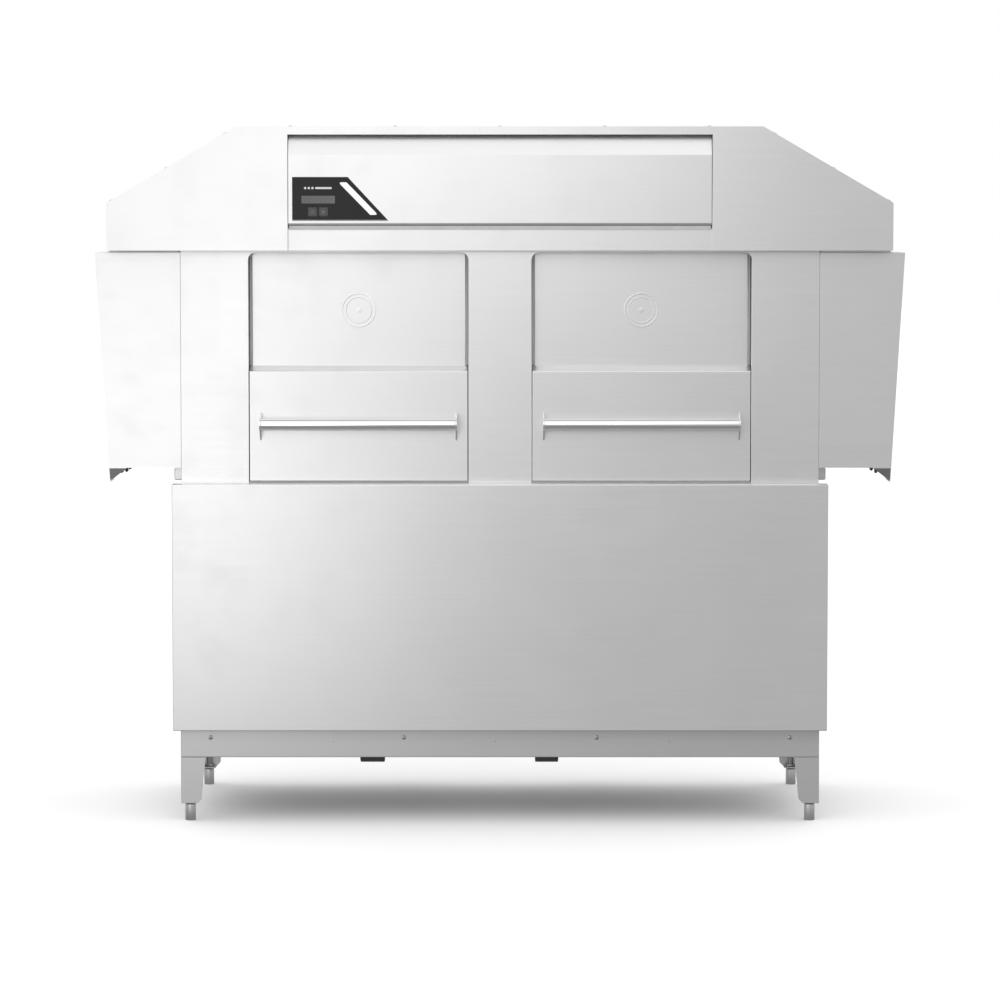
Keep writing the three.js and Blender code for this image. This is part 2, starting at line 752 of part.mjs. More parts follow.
function controlFascia() {
  const { half, front, bottom, bend, back, crest, curl, under } = fascia;
  const roll = [90, 60, 30, 0].map((degrees) => {
    const turn = THREE.MathUtils.degToRad(degrees);
    return [front + curl - curl * Math.cos(turn), bottom + curl - curl * Math.sin(turn)];
  });
  const chain = [[front + under, bottom], ...roll, [front, bend], [back, crest]].reverse();
  const cheek = [
    [front + 1, bottom + curl],
    [front + under, bottom + 1],
    [back, bottom + 1],
    [back, crest - skin],
    [front + 1, bend],
  ];
  const cheeks = [-1, 1].map((sign) => slab("YZ", cheek, [sign * (half - skin), sign * half]));
  const holes = controls.buttonX.map((x) => buttonHole(x, 2));
  return joined([folded("YZ", chain, [-half, half]), ...cheeks]).subtract(joined(holes));
}

function buttonHole(x, room) {
  const { button, buttonZ, front } = controls;
  const reach = button / 2 + room;
  return block(grown([x, x], reach), [front - 1, front + 8], grown([buttonZ, buttonZ], reach));
}

function controlPanel() {
  const { front, left, top, bottom, rightTop, rightBottom, buttonX } = controls;
  const outline = [[left, bottom], [rightBottom, bottom], [rightTop, top], [left, top]];
  const holes = buttonX.map((x) => buttonHole(x, 2 * air));
  return slab("XZ", outline, [front, fascia.front - air]).subtract(joined(holes));
}

function buttonSolid() {
  const { button, front, proud } = controls;
  const across = [-button / 2, button / 2];
  return block(across, [front - proud, fascia.front - air], across);
}

function hoodGroup() {
  const parts = [
    piece("hood_front", hoodFront(), steel()),
    piece("hood_shell", hoodShell(), steel()),
    piece("control_fascia", controlFascia(), steel()),
    piece("control_panel", controlPanel(), blackPlastic()),
  ];
  ["left", "right"].forEach((side, i) => {
    const place = [controls.buttonX[i], 0, controls.buttonZ];
    parts.push(piece(`button_${side}`, buttonSolid(), greyPlastic(), place));
  });
  return group(...parts);
}

// Doors, about their own centre line: a stepped outer skin, a flat liner, and a tube handle.
const door = {
  half: 286,
  upperHalf: 280.5,
  bottom: 899,
  ledge: 1186.8,
  step: 1200,
  face: -325,
  top: 1505,
  back: -301,
};
const liner = { half: 302, y: [-300, -298], bottom: 900, top: 1504 };
const handle = { z: 1048.4, y: -403, bar: 14.5, half: 254, plate: 3.5, rim: 2.5, low: 1006, high: 1079 };

function doorSkin() {
  const { half, upperHalf, bottom, ledge, step, face, top, back } = door;
  const { front } = body;
  const lowOutline = [[back, bottom], [front, bottom], [front, ledge], [face, step], [back, step]];
  const lowHollow = [
    [back + 1, bottom + skin],
    [front + skin, bottom + skin],
    [front + skin, ledge - skin * 0.75],
    [face, step - skin],
    [back + 1, step - skin],
  ];
  const low = slab("YZ", lowOutline, [-half, half]);
  const lowInside = slab("YZ", lowHollow, [skin - half, half - skin]);
  const high = block([-upperHalf, upperHalf], [face, back], [step - 1, top]);
  const across = [skin - upperHalf, upperHalf - skin];
  const highInside = block(across, [face + skin, back + 1], [step + 1, top - skin]);
  return low.subtract(lowInside).add(high.subtract(highInside));
}

const doorLiner = () => block([-liner.half, liner.half], liner.y, [liner.bottom, liner.top]);

function handleSolid() {
  const { z, y, bar, half, plate, rim, low, high } = handle;
  const tube = rod("X", bar, [-half, half], [y, z], 20);
  const seat = body.front - air;
  const outline = new THREE.Shape();
  const edge = bar + rim;
  outline.moveTo(seat, low);
  outline.lineTo(seat, high);
  outline.lineTo(y, z + edge);
  outline.absarc(y, z, edge, Math.PI / 2, (3 * Math.PI) / 2, false);
  outline.closePath();
  const plates = [-1, 1].map((sign) => slab("YZ", outline, [sign * (half - 1), sign * (half + plate)]));
  return joined([tube, ...plates]);
}

function doors() {
  const parts = [];
  for (const [side, sign] of [["left", -1], ["right", 1]]) {
    const place = [sign * doorway.centre, 0, 0];
    parts.push(
      piece(`door_skin_${side}`, doorSkin(), steel(), place),
      piece(`door_liner_${side}`, doorLiner(), innerSteel(), place),
      piece(`door_handle_${side}`, handleSolid(), steel(), place),
      piece(`door_rail_${side}`, sideRail(sign), innerSteel()),
    );
  }
  parts.push(piece("door_rail_centre", centreRail(), innerSteel()));
  return group(...parts);
}

// Splash shields at both ends, each a folded box open below, with a strip curtain hung inside.
const curtain = {
  x: 1000,
  pivotZ: 1384,
  half: 250,
  bottom: 912,
  sheet: 3,
  strips: 7,
  slit: 4,
  band: 60, // uncut height at the top
  rod: 6,
  rodHalf: 276,
};
const ear = { y: [270, 273], reach: 55, below: 12, above: 16 };
const portal = { half: 265, top: 1372 };

function shieldSolid(sign) {
  const { top, wide, bottom, narrow, hem, depth, flange, gusset } = shield;
  const start = body.half + air;
  const lean = (wide - narrow) / (top - bottom);
  const low = narrow - lean * (bottom - hem);
  const mirrored = (points) => points.map(([x, z]) => [sign * x, z]);
  const side = mirrored([[start, bottom], [narrow, bottom], [wide, top], [start, top]]);
  const end = mirrored([[low, hem], [wide, top], [wide - skin, top], [low - skin, hem]]);
  const corner = mirrored([[low, hem], [narrow + lean, bottom + 1], [narrow - gusset, bottom + 1]]);
  const across = [sign * (low - 20), sign * (wide + 5)];
  const way = block(across, [-portal.half, portal.half], [hem - 1, portal.top]);
  const room = slab("XZ", side, [-depth, depth]);
  const heights = [curtain.pivotZ - ear.below, curtain.pivotZ + ear.above];
  const pivot = [sign * curtain.x, curtain.pivotZ];
  const parts = [slab("XZ", end, [-depth, depth]).subtract(way)];
  for (const turn of [-1, 1]) {
    const thick = ear.y.map((y) => turn * y);
    const hanger = block([sign * (curtain.x - 10), sign * (curtain.x + ear.reach)], thick, heights);
    const bearing = rod("Y", curtain.rod + 1, grown(thick, 6), pivot);
    const edge = [turn * depth, turn * (depth - flange)];
    parts.push(slab("XZ", side, [turn * depth, turn * (depth - skin)]));
    parts.push(slab("XZ", corner, [turn * depth, turn * (depth - skin)]));
    parts.push(block([sign * start, sign * (start + skin)], edge, [bottom, top]));
    parts.push(hanger.subtract(bearing).intersect(room));
  }
  const cap = block([sign * start, sign * (wide - 1)], [-depth, depth], [top - skin, top]);
  const open = block(
    [sign * (start + flange), sign * (wide - flange - skin)],
    [flange - depth, depth - flange],
    grown([top, top - skin], 1),
  );
  return joined([...parts, cap.subtract(open)]);
}

// Strip curtain: overlapping tongues cut from one sheet, clamped on a rod that turns in the shield's ears.
function curtainSolid() {
  const { half, bottom, pivotZ, sheet, strips, slit, band, rodHalf } = curtain;
  const drop = bottom - pivotZ;
  const bar = rod("Y", curtain.rod, [-rodHalf, rodHalf], [0, 0], 12);
  let made = block([-sheet / 2, sheet / 2], [-half, half], [drop, 0]).add(bar);
  for (let i = 1; i < strips; i++) {
    const y = -half + (i * 2 * half) / strips;
    made = made.subtract(block([-sheet, sheet], grown([y, y], slit / 2), [drop - 1, -band]));
  }
  return made;
}

function ends() {
  const parts = [];
  for (const [side, sign] of [["left", -1], ["right", 1]])
    parts.push(
      piece(`end_shield_${side}`, shieldSolid(sign), steel()),
      piece(`strip_curtain_${side}`, curtainSolid(), strip(), [sign * curtain.x, 0, curtain.pivotZ]),
    );
  return group(...parts);
}

function chamberGroup() {
  return group(
    piece("front_frame", frontFrame(), steel()),
    piece("chamber_liner", chamberLiner(), innerSteel()),
    piece("end_frame_left", endFrame(-1), steel()),
    piece("end_frame_right", endFrame(1), steel()),
  );
}

export default group(
  chassis(),
  cabinetGroup(),
  chamberGroup(),
  washSystem(),
  conveyor(),
  hoodGroup(),
  doors(),
  ends(),
);
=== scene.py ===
import bpy
import bmesh
import json
import math
import numpy as np
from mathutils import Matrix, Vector


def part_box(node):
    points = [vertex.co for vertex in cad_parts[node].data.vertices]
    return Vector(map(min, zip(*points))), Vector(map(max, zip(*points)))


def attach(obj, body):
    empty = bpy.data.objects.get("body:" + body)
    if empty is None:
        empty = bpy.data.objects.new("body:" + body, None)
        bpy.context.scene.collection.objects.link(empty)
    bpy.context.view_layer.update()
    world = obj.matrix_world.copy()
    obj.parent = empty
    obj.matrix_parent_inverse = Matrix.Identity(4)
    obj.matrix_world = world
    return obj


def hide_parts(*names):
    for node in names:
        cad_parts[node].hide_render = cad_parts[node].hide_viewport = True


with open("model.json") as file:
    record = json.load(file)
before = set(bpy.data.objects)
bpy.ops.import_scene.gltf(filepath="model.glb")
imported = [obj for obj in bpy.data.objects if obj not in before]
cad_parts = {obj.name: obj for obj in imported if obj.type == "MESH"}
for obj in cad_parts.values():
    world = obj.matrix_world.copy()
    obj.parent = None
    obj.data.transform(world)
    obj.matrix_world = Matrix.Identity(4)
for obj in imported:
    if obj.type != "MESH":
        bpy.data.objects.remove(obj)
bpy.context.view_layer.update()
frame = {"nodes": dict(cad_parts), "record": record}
nodes = frame["nodes"]
sides = (("left", -1), ("right", 1))
print("frame loaded", len(nodes))


def boxOf(name):
    return [np.array(corner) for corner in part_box(name)]


cameraSettings = {"place": (0.0, -10.7722, 1.5813), "tiltDown": 4.0242, "lens": 143.28, "sensor": 36,
                  "reach": 200}


def makeCamera(s):
    data = bpy.data.cameras.new("camera")
    data.lens = s["lens"]
    data.sensor_width = s["sensor"]
    data.clip_end = s["reach"]
    camera = bpy.data.objects.new("camera", data)
    camera.location = s["place"]
    camera.rotation_euler = (math.radians(90 - s["tiltDown"]), 0, 0)
    bpy.context.collection.objects.link(camera)
    bpy.context.scene.camera = camera


makeCamera(cameraSettings)

# Place and aim are in metres, and size is across and down.
lightSettings = {
    "keyLowLeft": {"place": (-2.2, -3.4, 0.7), "aim": (-1.32, -0.3, 0.7), "size": (1.2, 1.5), "watts": 3.9},
    "keyLowMiddle": {"place": (-1.1, -3.4, 0.7), "aim": (-0.66, -0.3, 0.7), "size": (1.2, 1.5),
                     "watts": 6.3},
    "keyHighLeft": {"place": (-1.1, -3.4, 2.2), "aim": (-0.66, -0.3, 2.2), "size": (1.2, 1.5), "watts": 4.7},
    "keyHighMiddle": {"place": (0.0, -3.4, 2.2), "aim": (0, -0.3, 2.2), "size": (1.2, 1.5), "watts": 5.0},
}


def makeLights(settings):
    for name, s in settings.items():
        data = bpy.data.lights.new(name, "AREA")
        data.shape = "RECTANGLE"
        data.size, data.size_y = s["size"]
        data.energy = s["watts"]
        lamp = bpy.data.objects.new(name, data)
        lamp.location = s["place"]
        lamp.rotation_euler = (Vector(s["aim"]) - Vector(s["place"])).to_track_quat("-Z", "Y").to_euler()
        lamp.visible_camera = False
        bpy.context.collection.objects.link(lamp)


makeLights(lightSettings)

# White to the camera. For everything else it has one strength under the horizon, one low down and one
# overhead.
skySettings = {"seen": 1.0, "under": 0.279, "low": 0.656, "high": 1.25, "horizon": (-0.3, -0.02),
               "rise": (0.28, 0.55)}


def makeSky(s):
    world = bpy.data.worlds.new("studio")
    bpy.context.scene.world = world
    world.use_nodes = True
    tree = world.node_tree
    background = tree.nodes["Background"]
    background.inputs["Color"].default_value = (1, 1, 1, 1)
    coord = tree.nodes.new("ShaderNodeTexCoord")
    split = tree.nodes.new("ShaderNodeSeparateXYZ")
    total = tree.nodes.new("ShaderNodeMath")
    tree.links.new(coord.outputs["Generated"], split.inputs[0])
    steps = ((s["horizon"], s["under"], s["low"]), (s["rise"], 0.0, s["high"] - s["low"]))
    for i, ((start, end), below, above) in enumerate(steps):
        grade = tree.nodes.new("ShaderNodeMapRange")
        grade.interpolation_type = "SMOOTHSTEP"
        for socket, value in (("From Min", start), ("From Max", end), ("To Min", below), ("To Max", above)):
            grade.inputs[socket].default_value = value
        tree.links.new(split.outputs["Z"], grade.inputs["Value"])
        tree.links.new(grade.outputs["Result"], total.inputs[i])
    path = tree.nodes.new("ShaderNodeLightPath")
    pick = tree.nodes.new("ShaderNodeMix")
    pick.inputs["B"].default_value = s["seen"]
    tree.links.new(total.outputs[0], pick.inputs["A"])
    tree.links.new(path.outputs["Is Camera Ray"], pick.inputs["Factor"])
    tree.links.new(pick.outputs["Result"], background.inputs["Strength"])


makeSky(skySettings)
bpy.context.scene.view_settings.view_transform = "Standard"


def startMaterial(name):
    material = bpy.data.materials.new(name)
    material.use_nodes = True
    tree = material.node_tree
    shader = tree.nodes["Principled BSDF"]
    return material, tree, shader


def addNoise(tree, scale, detail=3.0, stretch=(1, 1, 1)):
    coord = tree.nodes.new("ShaderNodeTexCoord")
    mapping = tree.nodes.new("ShaderNodeMapping")
    mapping.inputs["Scale"].default_value = stretch
    noise = tree.nodes.new("ShaderNodeTexNoise")
    noise.inputs["Scale"].default_value = scale
    noise.inputs["Detail"].default_value = detail
    tree.links.new(coord.outputs["Object"], mapping.inputs["Vector"])
    tree.links.new(mapping.outputs["Vector"], noise.inputs["Vector"])
    return noise.outputs["Fac"]


def addRange(tree, value, low, high, start=0.3, end=0.7):
    node = tree.nodes.new("ShaderNodeMapRange")
    for socket, number in (("From Min", start), ("From Max", end), ("To Min", low), ("To Max", high)):
        node.inputs[socket].default_value = number
    tree.links.new(value, node.inputs["Value"])
    return node.outputs["Result"]


def addMath(tree, kind, a, b):
    node = tree.nodes.new("ShaderNodeMath")
    node.operation = kind
    for socket, value in zip(node.inputs, (a, b)):
        if isinstance(value, (int, float)):
            socket.default_value = value
        else:
            tree.links.new(value, socket)
    return node.outputs[0]


def addTint(tree, colour, factor, shader):
    node = tree.nodes.new("ShaderNodeMix")
    node.data_type = "RGBA"
    node.blend_type = "MULTIPLY"
    node.inputs["Factor"].default_value = 1
    node.inputs["A"].default_value = (*colour, 1)
    grey = tree.nodes.new("ShaderNodeCombineColor")
    for i in range(3):
        tree.links.new(factor, grey.inputs[i])
    tree.links.new(grey.outputs[0], node.inputs["B"])
    tree.links.new(node.outputs["Result"], shader.inputs["Base Color"])


def addBump(tree, height, strength, distance, shader):
    bump = tree.nodes.new("ShaderNodeBump")
    bump.inputs["Strength"].default_value = strength
    bump.inputs["Distance"].default_value = distance
    tree.links.new(height, bump.inputs["Height"])
    tree.links.new(bump.outputs["Normal"], shader.inputs["Normal"])


# Grain runs along X on fronts and tops, along Y on faces that look sideways.
def addGrain(tree, fine):
    along = addNoise(tree, 1.0, 4.0, (6, fine, fine))
    across = addNoise(tree, 1.0, 4.0, (fine, 6, fine))
    coord = tree.nodes.new("ShaderNodeTexCoord")
    split = tree.nodes.new("ShaderNodeSeparateXYZ")
    tree.links.new(coord.outputs["Normal"], split.inputs[0])
    sideways = addMath(tree, "GREATER_THAN", addMath(tree, "ABSOLUTE", split.outputs["X"], 0), 0.8)
    pick = tree.nodes.new("ShaderNodeMix")
    tree.links.new(sideways, pick.inputs["Factor"])
    tree.links.new(along, pick.inputs["A"])
    tree.links.new(across, pick.inputs["B"])
    return pick.outputs["Result"]


steelLooks = {
    "satinSteel": {"tone": (0.80, 0.80, 0.805), "rough": 0.36, "fine": 900, "depth": 0.00005, "cloud": 0.05},
    "frameSteel": {"tone": (0.66, 0.66, 0.665), "rough": 0.4, "fine": 800, "depth": 0.00006, "cloud": 0.06},
    "chamberSteel": {"tone": (0.66, 0.665, 0.67), "rough": 0.42, "fine": 500, "depth": 0.00008,
                     "cloud": 0.08},
    "polishedSteel": {"tone": (0.86, 0.86, 0.865), "rough": 0.17, "fine": 1400, "depth": 0.00002,
                      "cloud": 0.03},
    "turnedSteel": {"tone": (0.62, 0.625, 0.63), "rough": 0.33, "fine": 1600, "depth": 0.00006,
                    "cloud": 0.05},
    "screwSteel": {"tone": (0.55, 0.555, 0.56), "rough": 0.3, "fine": 1800, "depth": 0.00003, "cloud": 0.05},
}


def steelMaterial(name, s):
    material, tree, shader = startMaterial(name)
    grain = addGrain(tree, s["fine"])
    cloud = addNoise(tree, 1.7, 4.0)
    smudge = addNoise(tree, 11.0, 6.0)
    tone = addMath(tree, "MULTIPLY", addRange(tree, grain, 0.955, 1.0), addRange(tree, cloud, 0.975, 1.0))
    addTint(tree, s["tone"], tone, shader)
    rough = addMath(tree, "ADD", addRange(tree, grain, s["rough"] - 0.03, s["rough"] + 0.03),
                    addRange(tree, cloud, -s["cloud"] / 2, s["cloud"] / 2))
    rough = addMath(tree, "ADD", rough, addRange(tree, smudge, 0.0, 0.035, 0.5, 0.75))
    tree.links.new(rough, shader.inputs["Roughness"])
    shader.inputs["Metallic"].default_value = 1.0
    addBump(tree, grain, 0.35, s["depth"], shader)
    return material


mouldedLooks = {
    "panelBlack": {"tone": (0.014, 0.014, 0.015), "rough": 0.34, "grain": 900, "depth": 0.00003,
                   "specular": 0.22},
    "displayGrey": {"tone": (0.075, 0.077, 0.08), "rough": 0.12, "grain": 500, "depth": 0.00001},
    "buttonGrey": {"tone": (0.055, 0.056, 0.058), "rough": 0.42, "grain": 1200, "depth": 0.00005},
    # Dark tone for the plates on the shield gussets: painted shade.
    "gussetShadeDark": {"tone": (0.1, 0.101, 0.103), "rough": 0.3, "grain": 700, "depth": 0.00005},
    # Grey tone for the strip under the control panel: painted shade.
    "underEdgeShadeGrey": {"tone": (0.28, 0.28, 0.285), "rough": 0.6, "grain": 700, "depth": 0.00008},
    # Grey tone for the strips in the door, sill, shield and fascia gaps: painted shade.
    "gapShadeGrey": {"tone": (0.46, 0.46, 0.465), "rough": 0.5, "grain": 700, "depth": 0.00006},
    "sealRubber": {"tone": (0.035, 0.036, 0.038), "rough": 0.62, "grain": 600, "depth": 0.0001},
    "curtainRubber": {"tone": (0.05, 0.054, 0.058), "rough": 0.5, "grain": 260, "depth": 0.0002},
    "drainPlastic": {"tone": (0.36, 0.365, 0.37), "rough": 0.48, "grain": 420, "depth": 0.0001},
    "castBlack": {"tone": (0.036, 0.037, 0.039), "rough": 0.55, "grain": 330, "depth": 0.0004},
    "stripeWhite": {"tone": (0.92, 0.92, 0.92), "rough": 0.38, "grain": 800, "depth": 0.00002},
    "markGrey": {"tone": (0.62, 0.62, 0.63), "rough": 0.4, "grain": 800, "depth": 0.00002},
    "rimGrey": {"tone": (0.14, 0.142, 0.145), "rough": 0.4, "grain": 800, "depth": 0.00002},
    "jetPlastic": {"tone": (0.12, 0.2, 0.34), "rough": 0.4, "grain": 600, "depth": 0.0001},
}


def mouldedMaterial(name, s):
    material, tree, shader = startMaterial(name)
    grain = addNoise(tree, s["grain"], 2.0)
    patch = addNoise(tree, 24.0, 5.0)
    tone = addMath(tree, "MULTIPLY", addRange(tree, grain, 0.88, 1.0), addRange(tree, patch, 0.9, 1.0))
    addTint(tree, s["tone"], tone, shader)
    rough = addMath(tree, "ADD", addRange(tree, patch, s["rough"] - 0.05, s["rough"] + 0.05),
                    addRange(tree, grain, 0, 0.03))
    tree.links.new(rough, shader.inputs["Roughness"])
    shader.inputs["Specular IOR Level"].default_value = s.get("specular", 0.5)
    addBump(tree, grain, 0.5, s["depth"], shader)
    return material


materials = {name: steelMaterial(name, s) for name, s in steelLooks.items()}
materials.update({name: mouldedMaterial(name, s) for name, s in mouldedLooks.items()})


# Round holes on a square grid: 1 where the distance to the cell's centre is under the hole's radius.
def addHoles(tree, pitch, radius):
    coord = tree.nodes.new("ShaderNodeTexCoord")
    split = tree.nodes.new("ShaderNodeSeparateXYZ")
    tree.links.new(coord.outputs["Object"], split.inputs[0])
    squares = []
    for axis in ("X", "Y"):
        cell = addMath(tree, "FRACT", addMath(tree, "MULTIPLY", split.outputs[axis], 1 / pitch), 0)
        off = addMath(tree, "SUBTRACT", cell, 0.5)
        squares.append(addMath(tree, "MULTIPLY", off, off))
    return addMath(tree, "LESS_THAN", addMath(tree, "ADD", *squares), (radius / pitch) ** 2)


def strainerMaterial(name, s):
    material, tree, shader = startMaterial(name)
    holes = addHoles(tree, s["pitch"], s["hole"])
    stain = addNoise(tree, 14.0, 5.0)
    # Inside each hole the colour falls to 4%: painted shade, standing in for the dark seen through the
    # perforations.
    tone = addMath(tree, "MULTIPLY", addRange(tree, stain, 0.88, 1.0),
                   addRange(tree, holes, 1.0, 0.04, 0, 1))
    addTint(tree, s["tone"], tone, shader)
    tree.links.new(addRange(tree, stain, s["rough"], s["rough"] + 0.12), shader.inputs["Roughness"])
    shader.inputs["Metallic"].default_value = 1.0
    addBump(tree, addMath(tree, "SUBTRACT", 1.0, holes), 0.6, 0.0012, shader)
    return material


strainerLook = {"tone": (0.6, 0.605, 0.61), "rough": 0.34, "pitch": 0.0075, "hole": 0.0024}
materials["strainerSteel"] = strainerMaterial("strainerSteel", strainerLook)


floorLook = {"tone": (0.93, 0.93, 0.93), "rough": 0.7, "glow": 0.099, "speck": 60.0, "reach": 60.0}


def floorMaterial(s):
    material, tree, shader = startMaterial("floorPale")
    speck = addNoise(tree, s["speck"])
    addTint(tree, s["tone"], addRange(tree, speck, 0.99, 1.0), shader)
    shader.inputs["Roughness"].default_value = s["rough"]
    shader.inputs["Emission Color"].default_value = (1, 1, 1, 1)
    shader.inputs["Emission Strength"].default_value = s["glow"]
    return material


def makeFloor(s):
    reach = s["reach"]
    data = bpy.data.meshes.new("floor")
    corners = [(-reach, -reach, 0), (reach, -reach, 0), (reach, reach, 0), (-reach, reach, 0)]
    data.from_pydata(corners, [], [(0, 1, 2, 3)])
    floor = bpy.data.objects.new("floor", data)
    bpy.context.collection.objects.link(floor)
    data.materials.append(floorMaterial(s))
    floor.visible_glossy = False


makeFloor(floorLook)
print("camera, light and materials ready")

# The look of each slot of the frame, which every node starts with.
slotLooks = {
    "cladding_steel": "satinSteel",
    "chamber_steel": "chamberSteel",
    "handle_steel": "polishedSteel",
    "foot_steel": "turnedSteel",
    "pump_casting": "castBlack",
    "drain_plastic": "drainPlastic",
    "panel_black": "panelBlack",
    "button_grey": "buttonGrey",
    "curtain_rubber": "curtainRubber",
}
nodeSlot = {p["node"]: p["material_slot"] for p in frame["record"]["subparts"]}
nodeBody = {n: body for body, members in frame["record"]["behaviour"]["bodies"].items() for n in members}
for name, node in nodes.items():
    node.data.materials.clear()
    node.data.materials.append(materials[slotLooks[nodeSlot[name]]])

# Sheet metal from the frame: folds and cut edges over the sharp angle, in degrees, are bevelled.
foldSettings = {"fold": 0.0026, "edge": 0.0006, "narrow": 0.007, "segments": 3, "sharp": 24}


# A face's narrow width is its area over its longest edge.
def narrowWidth(face):
    return face.calc_area() / max(e.calc_length() for e in face.edges)


def softSheet(name, s=foldSettings, **changes):
    s = {**s, **changes}
    work = bmesh.new()
    work.from_mesh(nodes[name].data)
    bmesh.ops.remove_doubles(work, verts=work.verts, dist=1e-5)
    bmesh.ops.dissolve_limit(work, angle_limit=math.radians(1), verts=work.verts, edges=work.edges)
    weights = work.edges.layers.float.new("bevel_weight_edge")
    for edge in work.edges:
        turn = edge.calc_face_angle_signed(0) if len(edge.link_faces) == 2 else math.pi
        if turn > math.radians(s["sharp"]):
            thin = min(narrowWidth(f) for f in edge.link_faces) < s["narrow"]
            edge[weights] = s["edge"] / s["fold"] if thin else 1.0
        edge.smooth = abs(turn) < math.radians(s["sharp"])
    data = bpy.data.meshes.new(name + "_sheet")
    work.to_mesh(data)
    work.free()
    data.materials.clear()
    data.materials.append(nodes[name].data.materials[0])
    data.polygons.foreach_set("material_index", np.zeros(len(data.polygons), np.int32))
    data.polygons.foreach_set("use_smooth", np.ones(len(data.polygons), bool))
    piece = bpy.data.objects.new(name + "_sheet", data)
    bpy.context.collection.objects.link(piece)
    bevel = piece.modifiers.new("folds", "BEVEL")
    bevel.limit_method = "WEIGHT"
    bevel.width = s["fold"]
    bevel.segments = s["segments"]
    bevel.harden_normals = True
    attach(piece, nodeBody[name])
    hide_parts(name)
    return piece


sheetNodes = ["front_panel", "hood_front", "hood_shell", "front_frame", "rear_panel"]
frameNodes = ["base_frame"]
for side, _ in sides:
    sheetNodes += [f"{kind}_{side}" for kind in ("door_skin", "end_shield", "side_panel", "end_frame")]
    frameNodes += [f"leg_{end}_{side}" for end in ("front", "rear")]
for name in sheetNodes:
    softSheet(name)
for name in frameNodes:
    softSheet(name).data.materials[0] = materials["frameSteel"]
softSheet("control_fascia", sharp=12)
print("sheet metal finished", len(sheetNodes) + len(frameNodes) + 1)


# Quads over a grid: rows by columns of points, each direction open or closed on itself.
def quadRows(rows, columns, wrapRows, wrapColumns):
    r = np.arange(rows if wrapRows else rows - 1)[:, None]
    c = np.arange(columns if wrapColumns else columns - 1)[None, :]
    nextRow = (r + 1) % rows
    nextColumn = (c + 1) % columns
    corners = (r * columns + c, r * columns + nextColumn, nextRow * columns + nextColumn,
               nextRow * columns + c)
    return np.stack([np.broadcast_to(a, (len(r), c.shape[1])) for a in corners], -1).reshape(-1, 4)


# Faces are turned to look out of the body: the sum of point . (edge x edge) over the quads is its volume.
def quadsOut(points, quads):
    a, b, c, d = (points[quads[:, i]] for i in range(4))
    volume = np.einsum("ij,ij->", a, np.cross(b, c)) + np.einsum("ij,ij->", a, np.cross(c, d))
    return quads if volume > 0 else quads[:, ::-1]


# Each sheet is an array of points, (copies,) rows, columns, 3, with its two wrap flags.
def gatherSheets(sheets):
    points = []
    quads = []
    start = 0
    for grid, wrapRows, wrapColumns in sheets:
        grid = np.asarray(grid, float)
        grid = grid if grid.ndim == 4 else grid[None]
        rows, columns = grid.shape[1:3]
        one = quadsOut(grid[0].reshape(-1, 3) - grid[0].reshape(-1, 3).mean(0),
                       quadRows(rows, columns, wrapRows, wrapColumns))
        steps = start + np.arange(len(grid)) * rows * columns
        points.append(grid.reshape(-1, 3))
        quads.append((one[None] + steps[:, None, None]).reshape(-1, 4))
        start += grid.size // 3
    return np.concatenate(points), np.concatenate(quads)


def makePiece(name, sheets, look, body, slot, replaces=(), sharp=34):
    points, quads = gatherSheets(sheets)
    data = bpy.data.meshes.new(name)
    data.from_pydata(points, [], quads.tolist())
    work = bmesh.new()
    work.from_mesh(data)
    bmesh.ops.remove_doubles(work, verts=work.verts, dist=2e-6)
    work.to_mesh(data)
    work.free()
    data.materials.append(materials[look])
    data.polygons.foreach_set("use_smooth", np.ones(len(data.polygons), bool))
    data.set_sharp_from_angle(angle=math.radians(sharp))
    piece = bpy.data.objects.new(name, data)
    bpy.context.collection.objects.link(piece)
    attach(piece, body)
    if replaces:
        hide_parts(*replaces)
    return piece


# The turn that takes +Z to a direction.
def facing(direction):
    out = np.asarray(direction, float)
    out = out / np.linalg.norm(out)
    helper = np.array((0.0, 0.0, 1.0)) if abs(out[2]) < 0.9 else np.array((1.0, 0.0, 0.0))
    right = np.cross(helper, out)
    right = right / np.linalg.norm(right)
    return np.stack([right, np.cross(out, right), out], 1)


def placed(grid, places, direction=(0, 0, 1)):
    spots = np.atleast_2d(np.asarray(places, float))
    return (grid @ facing(direction).T)[None] + spots[:, None, None, :]


# A profile of (radius, height) carried round the Z axis: x = r cos t, y = r sin t.
def turned(profile, around=32):
    profile = np.asarray(profile, float)
    t = np.linspace(0, 2 * np.pi, around, endpoint=False)
    r = profile[:, 0][:, None]
    return np.stack([r * np.cos(t), r * np.sin(t),
                     np.broadcast_to(profile[:, 1][:, None], (len(profile), around))], -1)


# A profile of (radius, height) with its corners eased by a small quarter step on both sides.
def eased(profile, ease):
    profile = np.asarray(profile, float)
    inner = profile[1:-1]
    before = profile[:-2] - inner
    after = profile[2:] - inner
    lengthBefore = np.linalg.norm(before, axis=1, keepdims=True) + 1e-12
    lengthAfter = np.linalg.norm(after, axis=1, keepdims=True) + 1e-12
    first = inner + before / lengthBefore * np.minimum(ease, lengthBefore * 0.4)
    last = inner + after / lengthAfter * np.minimum(ease, lengthAfter * 0.4)
    middle = 0.25 * first + 0.25 * last + 0.5 * inner
    rounded = np.stack([first, middle, last], 1).reshape(-1, 2)
    return np.concatenate([profile[:1], rounded, profile[-1:]])


